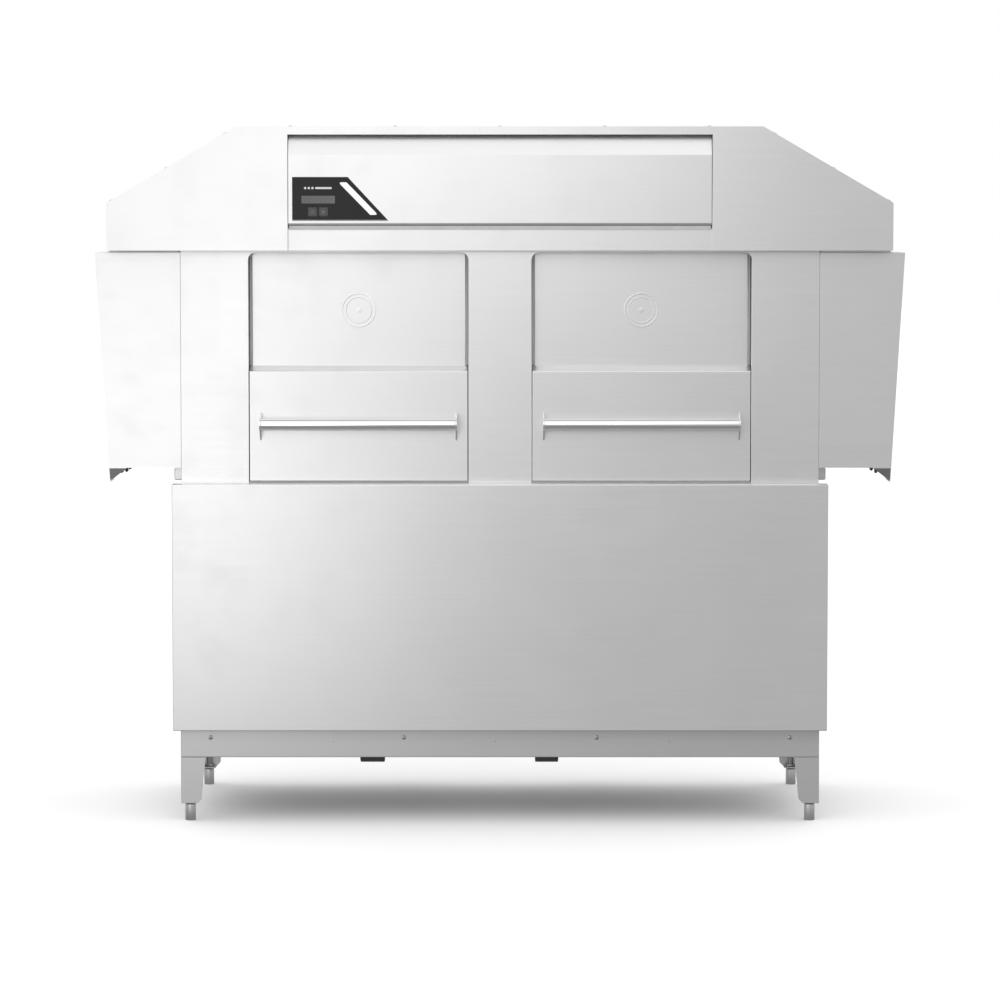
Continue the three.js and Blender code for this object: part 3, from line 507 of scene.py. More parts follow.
# A domed head with a cross recess: height falls with the square of the radius, and by the recess's
# depth wherever the point lies within half a slot of either centre line and inside the recess's reach.
def screwHead(radius, height, around=32):
    rings = np.array([0, 0.08, 0.16, 0.26, 0.4, 0.52, 0.56, 0.7, 0.85, 0.96, 1.0, 1.0, 0.0]) * radius
    grid = turned(np.stack([rings, np.zeros(len(rings))], 1), around)
    x, y = grid[..., 0], grid[..., 1]
    dome = height * (1 - 0.55 * (rings / radius) ** 2)[:, None] * np.ones(around)
    slot = (np.minimum(abs(x), abs(y)) < 0.12 * radius) & (np.maximum(abs(x), abs(y)) < 0.53 * radius)
    grid[..., 2] = dome - slot * height * 0.5
    grid[-2:, :, 2] = 0
    return grid


def hexHead(across, height, around=36):
    t = np.linspace(0, 2 * np.pi, around, endpoint=False)
    flat = across / 2 / np.cos((t + np.pi / 6) % (np.pi / 3) - np.pi / 6)
    circle = across / 2 * 1.04
    rows = [(0, height), (0.8, height), (1.0, height * 0.88), (1.0, 0.0), (0.0, 0.0)]
    radii = np.stack([np.minimum(flat, circle) * k if k == 0.8 else flat * k for k, _ in rows])
    return np.stack([radii * np.cos(t), radii * np.sin(t),
                     np.broadcast_to(np.array(rows)[:, 1:], radii.shape)], -1)


def roundedRect(width, height, radius, steps=6):
    t = np.linspace(0, np.pi / 2, steps)
    centre = np.array((width / 2 - radius, height / 2 - radius))
    corners = []
    for turn, (sx, sy) in enumerate(((1, 1), (-1, 1), (-1, -1), (1, -1))):
        a = t + turn * np.pi / 2
        corners.append(np.stack([np.cos(a), np.sin(a)], 1) * radius + centre * (sx, sy))
    return np.concatenate(corners)


# Quadratic bends: (1 - s)^2 start + 2 s (1 - s) corner + s^2 end, s from 0 to 1.
def bends(start, corner, end, steps):
    s = np.linspace(0, 1, steps)[None, :, None]
    curve = (1 - s) ** 2 * start[:, None] + 2 * s * (1 - s) * corner[:, None] + s**2 * end[:, None]
    return curve.reshape(-1, curve.shape[-1])


# A polygon with every corner replaced by a bend that starts where an arc of the radius would.
def roundedPolygon(points, radius, steps=6):
    points = np.asarray(points, float)
    before = np.roll(points, 1, 0) - points
    after = np.roll(points, -1, 0) - points
    before /= np.linalg.norm(before, axis=1, keepdims=True)
    after /= np.linalg.norm(after, axis=1, keepdims=True)
    half = np.arccos(np.clip((before * after).sum(1), -1, 1))[:, None] / 2
    start = points + before * radius / np.tan(half)
    end = points + after * radius / np.tan(half)
    return bends(start, points, end, steps)


# An outline moved inward by a distance along the mean normal of its two edges at each point.
def insetOutline(outline, distance):
    along = np.roll(outline, -1, 0) - np.roll(outline, 1, 0)
    along /= np.linalg.norm(along, axis=1, keepdims=True) + 1e-12
    area = (outline[:, 0] * np.roll(outline[:, 1], -1) - np.roll(outline[:, 0], -1) * outline[:, 1]).sum()
    normal = np.stack([-along[:, 1], along[:, 0]], 1) * np.sign(area)
    return outline + normal * distance


# Outlines in the XY plane, each lifted to its own height.
def lifted(layers):
    return np.stack([np.concatenate([flat, np.full((len(flat), 1), z)], 1) for flat, z in layers])


# A flat plate in the XY plane from z = 0 up to its thickness, its edges eased, closed at both faces.
def plateSheet(outline, thick, ease=0.0004):
    inside = insetOutline(outline, ease)
    middle = np.broadcast_to(outline.mean(0), outline.shape)
    layers = [(middle, 0), (inside, 0), (outline, ease), (outline, thick - ease), (inside, thick),
              (middle, thick)]
    return lifted(layers)


# A loop of square section between an outline and the same outline moved inward.
def rimSheet(outline, width, thick):
    inside = insetOutline(outline, width)
    layers = [(outline, 0), (outline, thick), (inside, thick), (inside, 0)]
    return lifted(layers)


# From the XY plane to a wall that looks towards -Y: x stays, y becomes z, and height comes forward.
def onFront(grid, place):
    return np.stack([grid[..., 0], -grid[..., 2], grid[..., 1]], -1) + np.asarray(place, float)


# A route through corners, each corner replaced by a quadratic bend that starts a bend's length before it.
def bentRoute(corners, bend, steps=9):
    corners = np.asarray(corners, float)
    inner = corners[1:-1]
    before = corners[:-2] - inner
    after = corners[2:] - inner
    reach = np.minimum(bend, 0.5 * np.minimum(np.linalg.norm(before, axis=1),
                                              np.linalg.norm(after, axis=1)))[:, None]
    start = inner + before / np.linalg.norm(before, axis=1, keepdims=True) * reach
    end = inner + after / np.linalg.norm(after, axis=1, keepdims=True) * reach
    route = np.concatenate([corners[:1], bends(start, inner, end, steps), corners[-1:]])
    keep = np.concatenate([[True], np.linalg.norm(np.diff(route, axis=0), axis=1) > 1e-6])
    return route[keep]


# A round section carried along a route: centre + r cos t normal + r sin t binormal, closed at its ends.
def tubeSheet(route, radius, around=24):
    route = np.asarray(route, float)
    radius = np.broadcast_to(np.asarray(radius, float), len(route))
    tangent = np.gradient(route, axis=0)
    tangent /= np.linalg.norm(tangent, axis=1, keepdims=True)
    reference = np.array((0.36, 0.48, 0.8))
    normal = reference - (tangent @ reference)[:, None] * tangent
    normal /= np.linalg.norm(normal, axis=1, keepdims=True)
    binormal = np.cross(tangent, normal)
    t = np.linspace(0, 2 * np.pi, around, endpoint=False)[None, :, None]
    ring = np.cos(t) * normal[:, None] + np.sin(t) * binormal[:, None]
    grid = route[:, None] + ring * radius[:, None, None]
    ends = [np.broadcast_to(route[i], (1, around, 3)) for i in (0, -1)]
    return np.concatenate([ends[0], grid, ends[1]])


# A collar or coupling as a turned ring: profile of (radius, distance along the axis).
def collar(radius, length, ease=0.0012, bore=0.0):
    profile = [(bore, 0), (radius, 0), (radius, length), (bore, length)]
    return turnedEased(profile, ease, 36)


def turnedEased(profile, ease, around):
    return turned(eased(profile, ease), around)


# A straight bar of points for a tube, with its middle.
def straight(start, end):
    return np.linspace(start, end, 3)


def closed(grid):
    return (grid, False, True)


def ringed(grid):
    return (grid, True, True)


# Body and slot of the pieces that are fixed to the machine.
cladding = ("machine", "cladding_steel")
chamber = ("machine", "chamber_steel")
panelFace = ("machine", "panel_black")
print("mesh helpers ready")


# Hood fixings: rows of cross-headed screws along the front and rear edges of the roof and its slopes.
hoodScrews = {"radius": 0.0052, "height": 0.003, "edge": 0.02, "roof": (-0.545, -0.273, 0.0, 0.272, 0.545),
              "slopeAt": (0.092, 0.544, 0.972), "ridge": (0.6838, 1.8238), "eave": (1.0224, 1.626)}


def makeHoodScrews(s):
    low, high = boxOf("hood_shell")
    ridge, eave = (np.array(s[key]) for key in ("ridge", "eave"))
    along = (eave - ridge) / np.linalg.norm(eave - ridge)
    head = screwHead(s["radius"], s["height"])
    sheets = []
    for y in (low[1] + s["edge"], high[1] - s["edge"]):
        sheets.append(closed(placed(head, [(x, y, ridge[1]) for x in s["roof"]])))
        for sign in (-1, 1):
            spots = [ridge + (eave - ridge) * share for share in s["slopeAt"]]
            sheets.append(closed(placed(head, [(sign * x, y, z) for x, z in spots],
                                        (-sign * along[1], 0, along[0]))))
    makePiece("hood_screws", sheets, "screwSteel", *cladding)


makeHoodScrews(hoodScrews)

# Louvre: height = full height x (1 - |u|^2.6)^0.6 x sin of a quarter turn over v, with u across it
# and v down it, and with the lip closed back to the sheet.
louvre = {"width": 0.15, "drop": 0.016, "height": 0.0055, "pitch": 0.03, "count": 8}


def louvreSheet(s):
    u = np.linspace(-1, 1, 29)[None, :]
    v = np.array([0, 0.12, 0.25, 0.4, 0.55, 0.7, 0.85, 1.0, 1.0])[:, None]
    rise = np.clip(1 - abs(u) ** 2.6, 0, 1) ** 0.6 * np.sin(v * np.pi / 2) * s["height"]
    rise[-1] = 0
    return np.stack(np.broadcast_arrays(u * s["width"] / 2, -v * s["drop"], rise), -1)


def louvreBank(s, wall, place):
    grid = louvreSheet(s)
    right = np.cross((0, 0, 1), wall)
    turn = np.stack([right, (0, 0, 1), wall], 1)
    steps = np.arange(s["count"])[:, None] * np.array((0, 0, -s["pitch"]))
    return ((grid @ turn.T)[None] + (steps + np.array(place))[:, None, None, :], False, False)


rearDetail = {"banks": ((-0.45, 0.58), (0.12, 0.58)), "screwX": 0.822, "rows": 6, "radius": 0.0048,
              "height": 0.0026}


def makeRear(s):
    low, high = boxOf("rear_panel")
    wall = np.array((0.0, 1.0, 0.0))
    banks = [louvreBank(louvre, wall, (x, high[1], z)) for x, z in s["banks"]]
    makePiece("rear_louvres", banks, "satinSteel", *cladding)
    heights = np.linspace(low[2] + 0.04, high[2] - 0.03, s["rows"])
    spots = [(sign * s["screwX"], high[1], z) for sign in (-1, 1) for z in heights]
    rowZ = (heights[0] - 0.02, heights[-1])
    spots += [(x, high[1], z) for x in np.linspace(-0.55, 0.55, 5) for z in rowZ]
    head = screwHead(s["radius"], s["height"])
    makePiece("rear_screws", [closed(placed(head, spots, wall))], "screwSteel", *cladding)


makeRear(rearDetail)

sideDetail = {"screwY": (-0.325, 0.325), "rows": 4, "radius": 0.0048, "height": 0.0026, "bankZ": 0.7}


def makeSides(s):
    for side, sign in sides:
        low, high = boxOf("side_panel_" + side)
        wall = np.array((sign, 0.0, 0.0))
        face = high[0] if sign > 0 else low[0]
        bank = louvreBank(louvre, wall, (face, 0.0, s["bankZ"]))
        makePiece("side_louvres_" + side, [bank], "satinSteel", *cladding)
        heights = np.linspace(low[2] + 0.035, high[2] - 0.035, s["rows"])
        head = screwHead(s["radius"], s["height"])
        spots = [(face, y, z) for y in s["screwY"] for z in heights]
        makePiece("side_screws_" + side, [closed(placed(head, spots, wall))], "screwSteel", *cladding)


makeSides(sideDetail)

# Base rail: four screws and small plugs along the front and back.
railDetail = {"screwX": (-0.762, -0.253, 0.255, 0.764), "screwZ": 0.2215, "plugX": (-0.44, -0.013, 0.446),
              "plugZ": 0.212}


def makeRailFixings(s):
    low, high = boxOf("base_frame")
    head = screwHead(0.0058, 0.0028)
    walls = ((low[1], -1), (high[1], 1))
    plug = turnedEased([(0, 0.0012), (0.0026, 0.0012), (0.0026, 0), (0, 0)], 0.0004, 20)
    for name, grid, places, z in (("rail_screws", head, s["screwX"], s["screwZ"]),
                                  ("rail_plugs", plug, s["plugX"], s["plugZ"])):
        sheets = [closed(placed(grid, [(x, y, z) for x in places], (0, out, 0))) for y, out in walls]
        makePiece(name, sheets, "screwSteel", *cladding)


makeRailFixings(railDetail)
print("fixings and louvres made")

# Control panel: a stripe, display, mark and button rims on the black plate, placed across and up.
panelDetail = {
    "stripe": ((-0.4199, 1.6790), (-0.3987, 1.6790), (-0.3166, 1.5945), (-0.3372, 1.5945)),
    "display": {"place": (-0.4723, 1.6340), "size": (0.0874, 0.0203)},
    "mark": {"z": 1.6640, "dots": (-0.506, -0.4965, -0.487), "dot": 0.0031, "bar": (-0.480, -0.437),
             "barHeight": 0.0052},
    "underEdgeShade": 0.0028,
    "topRight": -0.3958,
}


def makePanelDetail(s):
    low, high = boxOf("control_panel")
    front = low[1]
    stripe = plateSheet(roundedPolygon(s["stripe"], 0.004), 0.0005, 0.00015)
    makePiece("panel_stripe", [closed(onFront(stripe, (0, front, 0)))], "stripeWhite", *panelFace)
    display = plateSheet(roundedRect(*s["display"]["size"], 0.0012), 0.0008, 0.0003)
    x, z = s["display"]["place"]
    makePiece("panel_display", [closed(onFront(display, (x, front, z)))], "displayGrey", *panelFace)
    mark = s["mark"]
    dot = turnedEased([(0, 0.0004), (mark["dot"], 0.0004), (mark["dot"], 0), (0, 0)], 0.0001, 24)
    dots = [closed(onFront(dot, (x, front, mark["z"]))) for x in mark["dots"]]
    start, end = mark["bar"]
    bar = plateSheet(roundedRect(end - start, mark["barHeight"], 0.002), 0.0004, 0.0001)
    dots.append(closed(onFront(bar, ((start + end) / 2, front, mark["z"]))))
    makePiece("panel_mark", dots, "markGrey", *panelFace)
    rims = []
    rim = rimSheet(roundedRect(0.0222, 0.0222, 0.002), 0.0008, 0.0005)
    for side in ("left", "right"):
        button = sum(boxOf("button_" + side)) / 2
        rims.append(ringed(onFront(rim, (button[0], front, button[2]))))
    makePiece("panel_button_rims", rims, "rimGrey", *panelFace)
    # The grey strip along the panel's lower edge is painted shade, standing in for the shaded edge under the
    # plate.
    edge, lap = s["underEdgeShade"], 0.0003
    slope = (high[0] - s["topRight"]) / (high[2] - low[2])
    foot = low[2] - edge
    strip = [(low[0], foot), (high[0] + edge * slope * 0.5, foot), (high[0], low[2] - lap),
             (low[0], low[2] - lap)]
    underEdgeShade = plateSheet(np.array(strip), 0.0018, 0.0003)
    makePiece("panel_under_edge_shade", [closed(onFront(underEdgeShade, (0, high[1] + 0.0002, 0)))], "underEdgeShadeGrey", *panelFace)


makePanelDetail(panelDetail)

# Buttons: a square cap whose face is dished, depth = dish x (1 - u^4)(1 - v^4), with a plain symbol on it.
buttonDetail = {"size": 0.019, "dish": 0.0006, "steps": 17}


def makeButtons(s):
    for side in ("left", "right"):
        name = "button_" + side
        low, high = boxOf(name)
        u = np.linspace(-1, 1, s["steps"])
        across, up = np.meshgrid(u, u, indexing="ij")
        half = s["size"] / 2
        ring = 1 - 0.035 * (abs(across * up) ** 6)
        dish = (1 - across**4) * (1 - up**4) * s["dish"]
        edge = np.maximum(abs(across), abs(up)) > 0.97
        face = np.stack([across * half * ring, up * half * ring, high[1] - low[1] - dish - edge * 0.0005],
                        -1)
        back = face.copy()
        back[..., 2] = 0
        skirt = np.concatenate([face[:, :1], face, face[:, -1:]], 1)
        skirt = np.concatenate([skirt[:1], skirt, skirt[-1:]], 0)
        skirt[0, :, 2] = skirt[-1, :, 2] = 0
        skirt[:, 0, 2] = skirt[:, -1, 2] = 0
        place = ((low[0] + high[0]) / 2, high[1], (low[2] + high[2]) / 2)
        sheets = [(onFront(skirt, place), False, False), (onFront(back, place), False, False)]
        makePiece("cap_" + name, sheets, "buttonGrey", name, "button_grey", (name,))
        spot = (place[0], low[1] + s["dish"] + 0.0001, place[2])
        if side == "left":
            t = np.linspace(0, 2 * np.pi, 36, endpoint=False)
            symbol = rimSheet(np.stack([np.cos(t), np.sin(t)], 1) * 0.0042, 0.0008, 0.0003)
            symbol = ringed(onFront(symbol, spot))
        else:
            triangle = roundedPolygon([(-0.003, -0.0042), (0.0045, 0), (-0.003, 0.0042)], 0.0006)
            symbol = closed(onFront(plateSheet(triangle, 0.0003, 0.0001), spot))
        makePiece("symbol_" + name, [symbol], "rimGrey", name, "button_grey")


makeButtons(buttonDetail)
print("controls made")

# Door emblem: plain concentric rings pressed from the sheet, height = rise x cos^2 across each ring.
emblem = {"z": 1.3458, "rings": ((0.0435, 0.002), (0.0335, 0.0014)), "boss": 0.0095, "rise": 0.0003}


def makeEmblems(s):
    for side, _ in sides:
        low, high = boxOf("door_skin_" + side)
        centre = (low[0] + high[0]) / 2
        sheets = []
        for radius, width in s["rings"]:
            w = np.linspace(-1, 1, 9)
            profile = np.stack([radius + w * width, s["rise"] * np.cos(w * np.pi / 2) ** 2], 1)
            profile = np.concatenate([profile, profile[-1:] * (1, 0), profile[:1] * (1, 0)])
            sheets.append(ringed(turned(profile, 72)))
        w = np.linspace(0, 1, 9)
        dome = np.stack([s["boss"] * w, s["rise"] * np.cos(w * np.pi / 2) ** 2], 1)
        sheets.append(closed(turned(np.concatenate([dome, [(s["boss"], 0), (0, 0)]]), 48)))
        sheets = [(onFront(grid, (centre, -0.325, s["z"])), a, b) for grid, a, b in sheets]
        makePiece("door_emblem_" + side, sheets, "satinSteel", "door_" + side, "cladding_steel")


makeEmblems(emblem)

# Handle: a round tube between two thin end plates, each plate's outline a tangent strap round the tube.
handleDetail = {"bar": 0.0145, "rim": 0.0025, "plate": 0.0035, "low": 1.006, "high": 1.079,
                "centre": (-0.403, 1.0484)}


def makeHandles(s):
    for side, _ in sides:
        name = "door_handle_" + side
        low, high = boxOf(name)
        y, z = s["centre"]
        seat = high[1]
        route = np.linspace((low[0] + s["plate"] + 0.0002, y, z), (high[0] - s["plate"] - 0.0002, y, z), 5)
        sheets = [closed(tubeSheet(route, s["bar"], 48))]
        edge = s["bar"] + s["rim"]
        t = np.linspace(np.pi / 2, 3 * np.pi / 2, 25)
        strap = np.concatenate([[(seat, s["low"]), (seat, s["high"])],
                                np.stack([y + edge * np.cos(t), z + edge * np.sin(t)], 1)])
        flat = plateSheet(strap, s["plate"], 0.0005)
        for start, turn in ((low[0], 1), (high[0] - s["plate"], -1)):
            sheets.append(closed(np.stack([flat[..., 2] + start, flat[..., 0], flat[..., 1]], -1)))
            seam = turnedEased([(s["bar"], 0), (s["bar"] + 0.0012, 0), (s["bar"], 0.0016)], 0.0003, 48)
            inner = start + s["plate"] if turn > 0 else start
            sheets.append((np.stack([inner + turn * seam[..., 2], y + seam[..., 0], z + seam[..., 1]], -1),
                           False, True))
        makePiece(name + "_tube", sheets, "polishedSteel", "door_" + side, "handle_steel", (name,))


makeHandles(handleDetail)
print("door furniture made")

# Levelling foot: a plain turned pad, a lock nut and a threaded stud, radius = r + depth x sin along it.
footDetail = {"radius": 0.014, "stud": 0.006, "pitch": 0.0018, "thread": 0.00035, "hex": 0.021}


def makeFeet(s):
    for end in ("front", "rear"):
        for side, _ in sides:
            name = f"foot_{end}_{side}"
            low, high = boxOf(name)
            place = np.array([(low[0] + high[0]) / 2, (low[1] + high[1]) / 2, 0])
            pad = [(0, 0), (s["radius"], 0), (s["radius"], 0.0425), (0.011, 0.0455), (0.0, 0.046)]
            z = np.linspace(0.0455, high[2] - 0.001, 260)
            wave = s["stud"] - s["thread"] + s["thread"] * np.sin(2 * np.pi * z / s["pitch"])
            stud = np.concatenate([[(0, z[0])], np.stack([wave, z], 1), [(0.0045, high[2]), (0, high[2])]])
            nut = hexHead(s["hex"], 0.0062)
            sheets = [closed(turnedEased(pad, 0.0009, 40) + place), closed(turned(stud, 20) + place),
                      closed(nut + place + (0, 0, 0.0505))]
            makePiece("levelling_" + name, sheets, "turnedSteel", name, "foot_steel", (name,))


makeFeet(footDetail)

# Curtain strip: the cut sheet hangs in tongues that lap one another, each bowed by
# bow x sin of half a turn across it and rippled by ripple x sin down its length.
curtainDetail = {"strips": 9, "lap": 0.012, "sheet": 0.0024, "bow": 0.0022, "ripple": 0.0012,
                 "stagger": 0.0032, "clamp": 0.03}


def makeCurtains(s):
    for side, _ in sides:
        name = "strip_curtain_" + side
        low, high = boxOf(name)
        centre = (low[0] + high[0]) / 2
        pivot = high[2] - 0.006
        across = np.linspace(-0.25, 0.25, s["strips"] + 1)
        v = np.linspace(0, 1, 40)[:, None]
        loop = np.array([(-1, 0), (-0.92, 1), (-0.5, 1), (0, 1), (0.5, 1), (0.92, 1), (1, 0), (0.92, -1),
                         (0.5, -1),
                         (0, -1), (-0.5, -1), (-0.92, -1)], float)
        sheets = []
        for i, (y0, y1) in enumerate(zip(across[:-1], across[1:])):
            half = (y1 - y0 + (s["lap"] if 0 < i < s["strips"] - 1 else 0)) / 2
            middle = (y0 + y1) / 2
            u = loop[:, 0][None, :]
            shift = s["stagger"] * (1 if i % 2 else -1)
            x = centre + shift + loop[:, 1][None, :] * s["sheet"] / 2
            x = x + s["bow"] * np.cos(u * np.pi / 2) * v * (1 if i % 2 else -1)
            x = x + s["ripple"] * np.sin(v * 7.0 + i * 1.7) * v
            z = pivot - 0.004 + (low[2] - pivot + 0.004) * v + 0 * u
            grid = np.stack(np.broadcast_arrays(x, middle + u * half + 0 * v, z), -1)
            ends = [np.broadcast_to(grid[k].mean(0), (1, grid.shape[1], 3)) for k in (0, -1)]
            sheets.append(closed(np.concatenate([ends[0], grid, ends[1]])))
        makePiece("strips_" + name, sheets, "curtainRubber", name, "curtain_rubber", (name,))
        rod = tubeSheet(straight((centre, -0.276, pivot), (centre, 0.276, pivot)), 0.006, 24)
        bars = [closed(rod)]
        for turn in (-1, 1):
            bar = plateSheet(roundedRect(0.5, s["clamp"], 0.003), 0.0022, 0.0004)
            bar = np.stack([turn * (bar[..., 2] + 0.0058) + centre, bar[..., 0],
                            bar[..., 1] + pivot - 0.024], -1)
            bars.append(closed(bar))
        for turn in (-1, 1):
            spots = [(centre + turn * 0.008, y, pivot - 0.024) for y in np.linspace(-0.22, 0.22, 6)]
            bars.append(closed(placed(hexHead(0.01, 0.004), spots, (turn, 0, 0))))
        makePiece("clamp_" + name, bars, "chamberSteel", name, "curtain_rubber")


makeCurtains(curtainDetail)
print("feet and curtains made")

# Each end shield leans: how far out its face is at a height, from its lower and upper edges.
shieldFace = {"low": (1.0251, 0.9337), "top": (1.0575, 1.4967), "hem": 0.8967, "front": 0.3652}
shieldLean = (shieldFace["top"][0] - shieldFace["low"][0]) / (shieldFace["top"][1] - shieldFace["low"][1])


def shieldOut(z):
    return shieldFace["low"][0] + shieldLean * (z - shieldFace["low"][1])


# Trim pressed over the edge of each end opening: a round rubber bead along a three-sided route.
trimDetail = {"half": 0.265, "top": 1.372, "low": 0.9, "radius": 0.0034, "boltY": (-0.2785, 0.2785),
              "boltZ": (1.378, 1.394)}


def makeEndTrims(s):
    for side, sign in sides:
        corners = np.array([(-s["half"], s["low"]), (-s["half"], s["top"]), (s["half"], s["top"]),
                            (s["half"], s["low"])])
        middle = shieldOut(corners[:, 1]) - 0.001
        route = bentRoute(np.stack([sign * middle, corners[:, 0], corners[:, 1]], 1), 0.006)
        makePiece("opening_trim_" + side, [closed(tubeSheet(route, s["radius"], 16))], "sealRubber",
                  "machine", "curtain_rubber")
        bolts = [(sign * shieldOut(z), y, z) for y in s["boltY"] for z in s["boltZ"]]
        grid = hexHead(0.009, 0.0035)
        out = np.array((sign, 0, -shieldLean))
        makePiece("hanger_bolts_" + side, [closed(placed(grid, bolts, out))], "screwSteel", *cladding)


makeEndTrims(trimDetail)

# Wash arms: header, arms, feed and riser as smooth tubes, lobed end caps and a row of jets on each arm.
armDetail = {
    "columns": (0.19, 0.34, 0.49, 0.64), "middle": 0.415, "headerY": 0.25, "front": -0.252, "header": 0.02,
    "arm": 0.012,
    "riserY": 0.326, "joint": 0.4703, "upper": 1.4, "lower": 0.838, "jets": 7, "jet": 0.0058,
}


def makeArms(s):
    t = np.linspace(0, 2 * np.pi, 36, endpoint=False)
    cap = turnedEased([(0, 0.012), (0.0135, 0.012), (0.0145, 0.009), (0.0145, 0), (0, 0)], 0.0008, 36)
    cap[..., :2] *= (1 + 0.03 * np.cos(12 * t))[None, :, None]
    jet = turnedEased([(0, 0.007), (s["jet"] * 0.62, 0.007), (s["jet"], 0.0035), (s["jet"], 0), (0, 0)],
                      0.0005, 24)
    jet[:4, :, 2] -= (abs(jet[:4, :, 0]) < 0.0009) * 0.0015
    jetY = np.linspace(-0.215, 0.2, s["jets"])
    for side, sign in sides:
        x = sign * s["middle"]
        reach = (s["columns"][0] - 0.02, s["columns"][-1] + 0.02)
        for level, out in (("upper", -1), ("lower", 1)):
            z = s[level]
            tubes = [tubeSheet(straight((sign * reach[0], s["headerY"], z),
                                        (sign * reach[1], s["headerY"], z)), s["header"], 32)]
            if level == "upper":
                route = bentRoute([(x, s["headerY"], z), (x, s["riserY"], z), (x, s["riserY"], s["joint"])],
                                  0.028)
            else:
                route = straight((x, s["headerY"], z), (x, s["riserY"] - 0.0203, z))
            tubes.append(tubeSheet(route, s["header"], 32))
            for column in s["columns"]:
                arm = straight((sign * column, s["front"], z), (sign * column, s["headerY"], z))
                tubes.append(tubeSheet(arm, s["arm"], 24))
            name = f"wash_arms_{level}_{side}"
            makePiece("tubes_" + name, [closed(grid) for grid in tubes], "polishedSteel", *chamber, (name,))
            ends = [(sign * column, s["front"] + 0.008, z) for column in s["columns"]]
            makePiece("caps_" + name, [closed(placed(cap, ends, (0, -1, 0)))], "jetPlastic", *chamber)
            spots = [(sign * column, y,
                      z + out * (s["arm"] - 0.0012)) for column in s["columns"] for y in jetY]
            makePiece("jets_" + name, [closed(placed(jet, spots, (0, 0, out)))], "turnedSteel", *chamber)


makeArms(armDetail)

rinseDetail = {"x": 0.76, "tube": 0.009, "upper": 1.392, "lower": 0.842, "front": -0.252, "riserY": 0.326,
               "turnZ": 0.52, "endY": 0.117}


def makeRinse(s):
    x = s["x"]
    upper = bentRoute([(x, s["front"], s["upper"]), (x, s["riserY"], s["upper"]),
                       (x, s["riserY"], s["turnZ"]), (x, s["endY"], s["turnZ"])], 0.024)
    lower = straight((x, s["front"], s["lower"]), (x, s["riserY"] - 0.0093, s["lower"]))
    spray = turnedEased([(0, 0.006), (0.0028, 0.006), (0.0045, 0.002), (0.0045, 0), (0, 0)], 0.0004, 20)
    for level, route, out in (("upper", upper, -1), ("lower", lower, 1)):
        name = "rinse_arm_" + level
        makePiece("tube_" + name, [closed(tubeSheet(route, s["tube"], 28))], "polishedSteel", *chamber,
                  (name,))
        spots = [(x, y, s[level] + out * (s["tube"] - 0.001)) for y in np.linspace(-0.22, 0.22, 9)]
        makePiece("sprays_" + name, [closed(placed(spray, spots, (0, 0, out)))], "turnedSteel", *chamber)


makeRinse(rinseDetail)

standpipeDetail = {"radius": 0.019, "bore": 0.016, "plug": 0.016}


def makeStandpipes(s):
    for side, _ in sides:
        name = "standpipe_" + side
        low, high = boxOf(name)
        place = np.array(((low[0] + high[0]) / 2, (low[1] + high[1]) / 2, low[2]))
        top = high[2] - low[2]
        tube = [(0, 0.008), (s["radius"], 0.008), (s["radius"], 0.03), (s["radius"] - 0.001, 0.034),
                (s["radius"] - 0.001, top - 0.008),
                (s["radius"], top - 0.004), (s["radius"], top), (s["bore"], top), (s["bore"], 0.03),
                (0, 0.03)]
        plug = [(0, 0), (s["plug"] - 0.001, 0), (s["plug"], 0.002), (s["plug"], 0.008), (0, 0.008)]
        makePiece("tube_" + name, [closed(turnedEased(tube, 0.0007, 40) + place)], "polishedSteel", name,
                  "chamber_steel", (name,))
        makePiece("plug_" + name, [closed(turnedEased(plug, 0.0005, 40) + place)], "sealRubber", name,
                  "chamber_steel")
        bail = np.linspace(place + (-0.0175, 0, top - 0.0035), place + (0.0175, 0, top - 0.0035), 3)
        makePiece("bail_" + name, [closed(tubeSheet(bail, 0.0022, 16))], "turnedSteel", name,
                  "chamber_steel")


makeStandpipes(standpipeDetail)
print("wash system made")

# Motor: turned from its stations, with the given rows raised in fins: r = r0 x (1 + rise x fin), where fin
# goes
# from 0 to 1 with the cosine of so many turns, made steeper and cut flat at both ends.
def finned(stations, around, count, rows, rise):
    motor = turned(stations, around)
    a = np.linspace(0, 2 * np.pi, around, endpoint=False)
    fins = np.clip(np.cos(count * a) * 1.6, -1, 1) * 0.5 + 0.5
    motor[rows, :, :2] *= (1 + fins * rise)[None, :, None]
    return motor


# Pump: a turned volute with a ring of bolts, a finned motor with a fan cowl, a terminal box and two pipes.
pumpDetail = {"z": 0.219, "volute": 0.11, "motor": 0.058, "core": 0.051, "fin": 0.005, "length": 0.19,
              "bolts": 8, "boltRing": 0.084, "outletY": 0.06,
              "outletZ": 0.42, "joint": 0.47, "riserY": 0.326, "suction": 0.03, "outlet": 0.02,
              "offset": 0.052}
pumpPlaces = {"left": {"x": -0.379, "width": 0.0655}, "right": {"x": 0.0954, "width": 0.0627}}


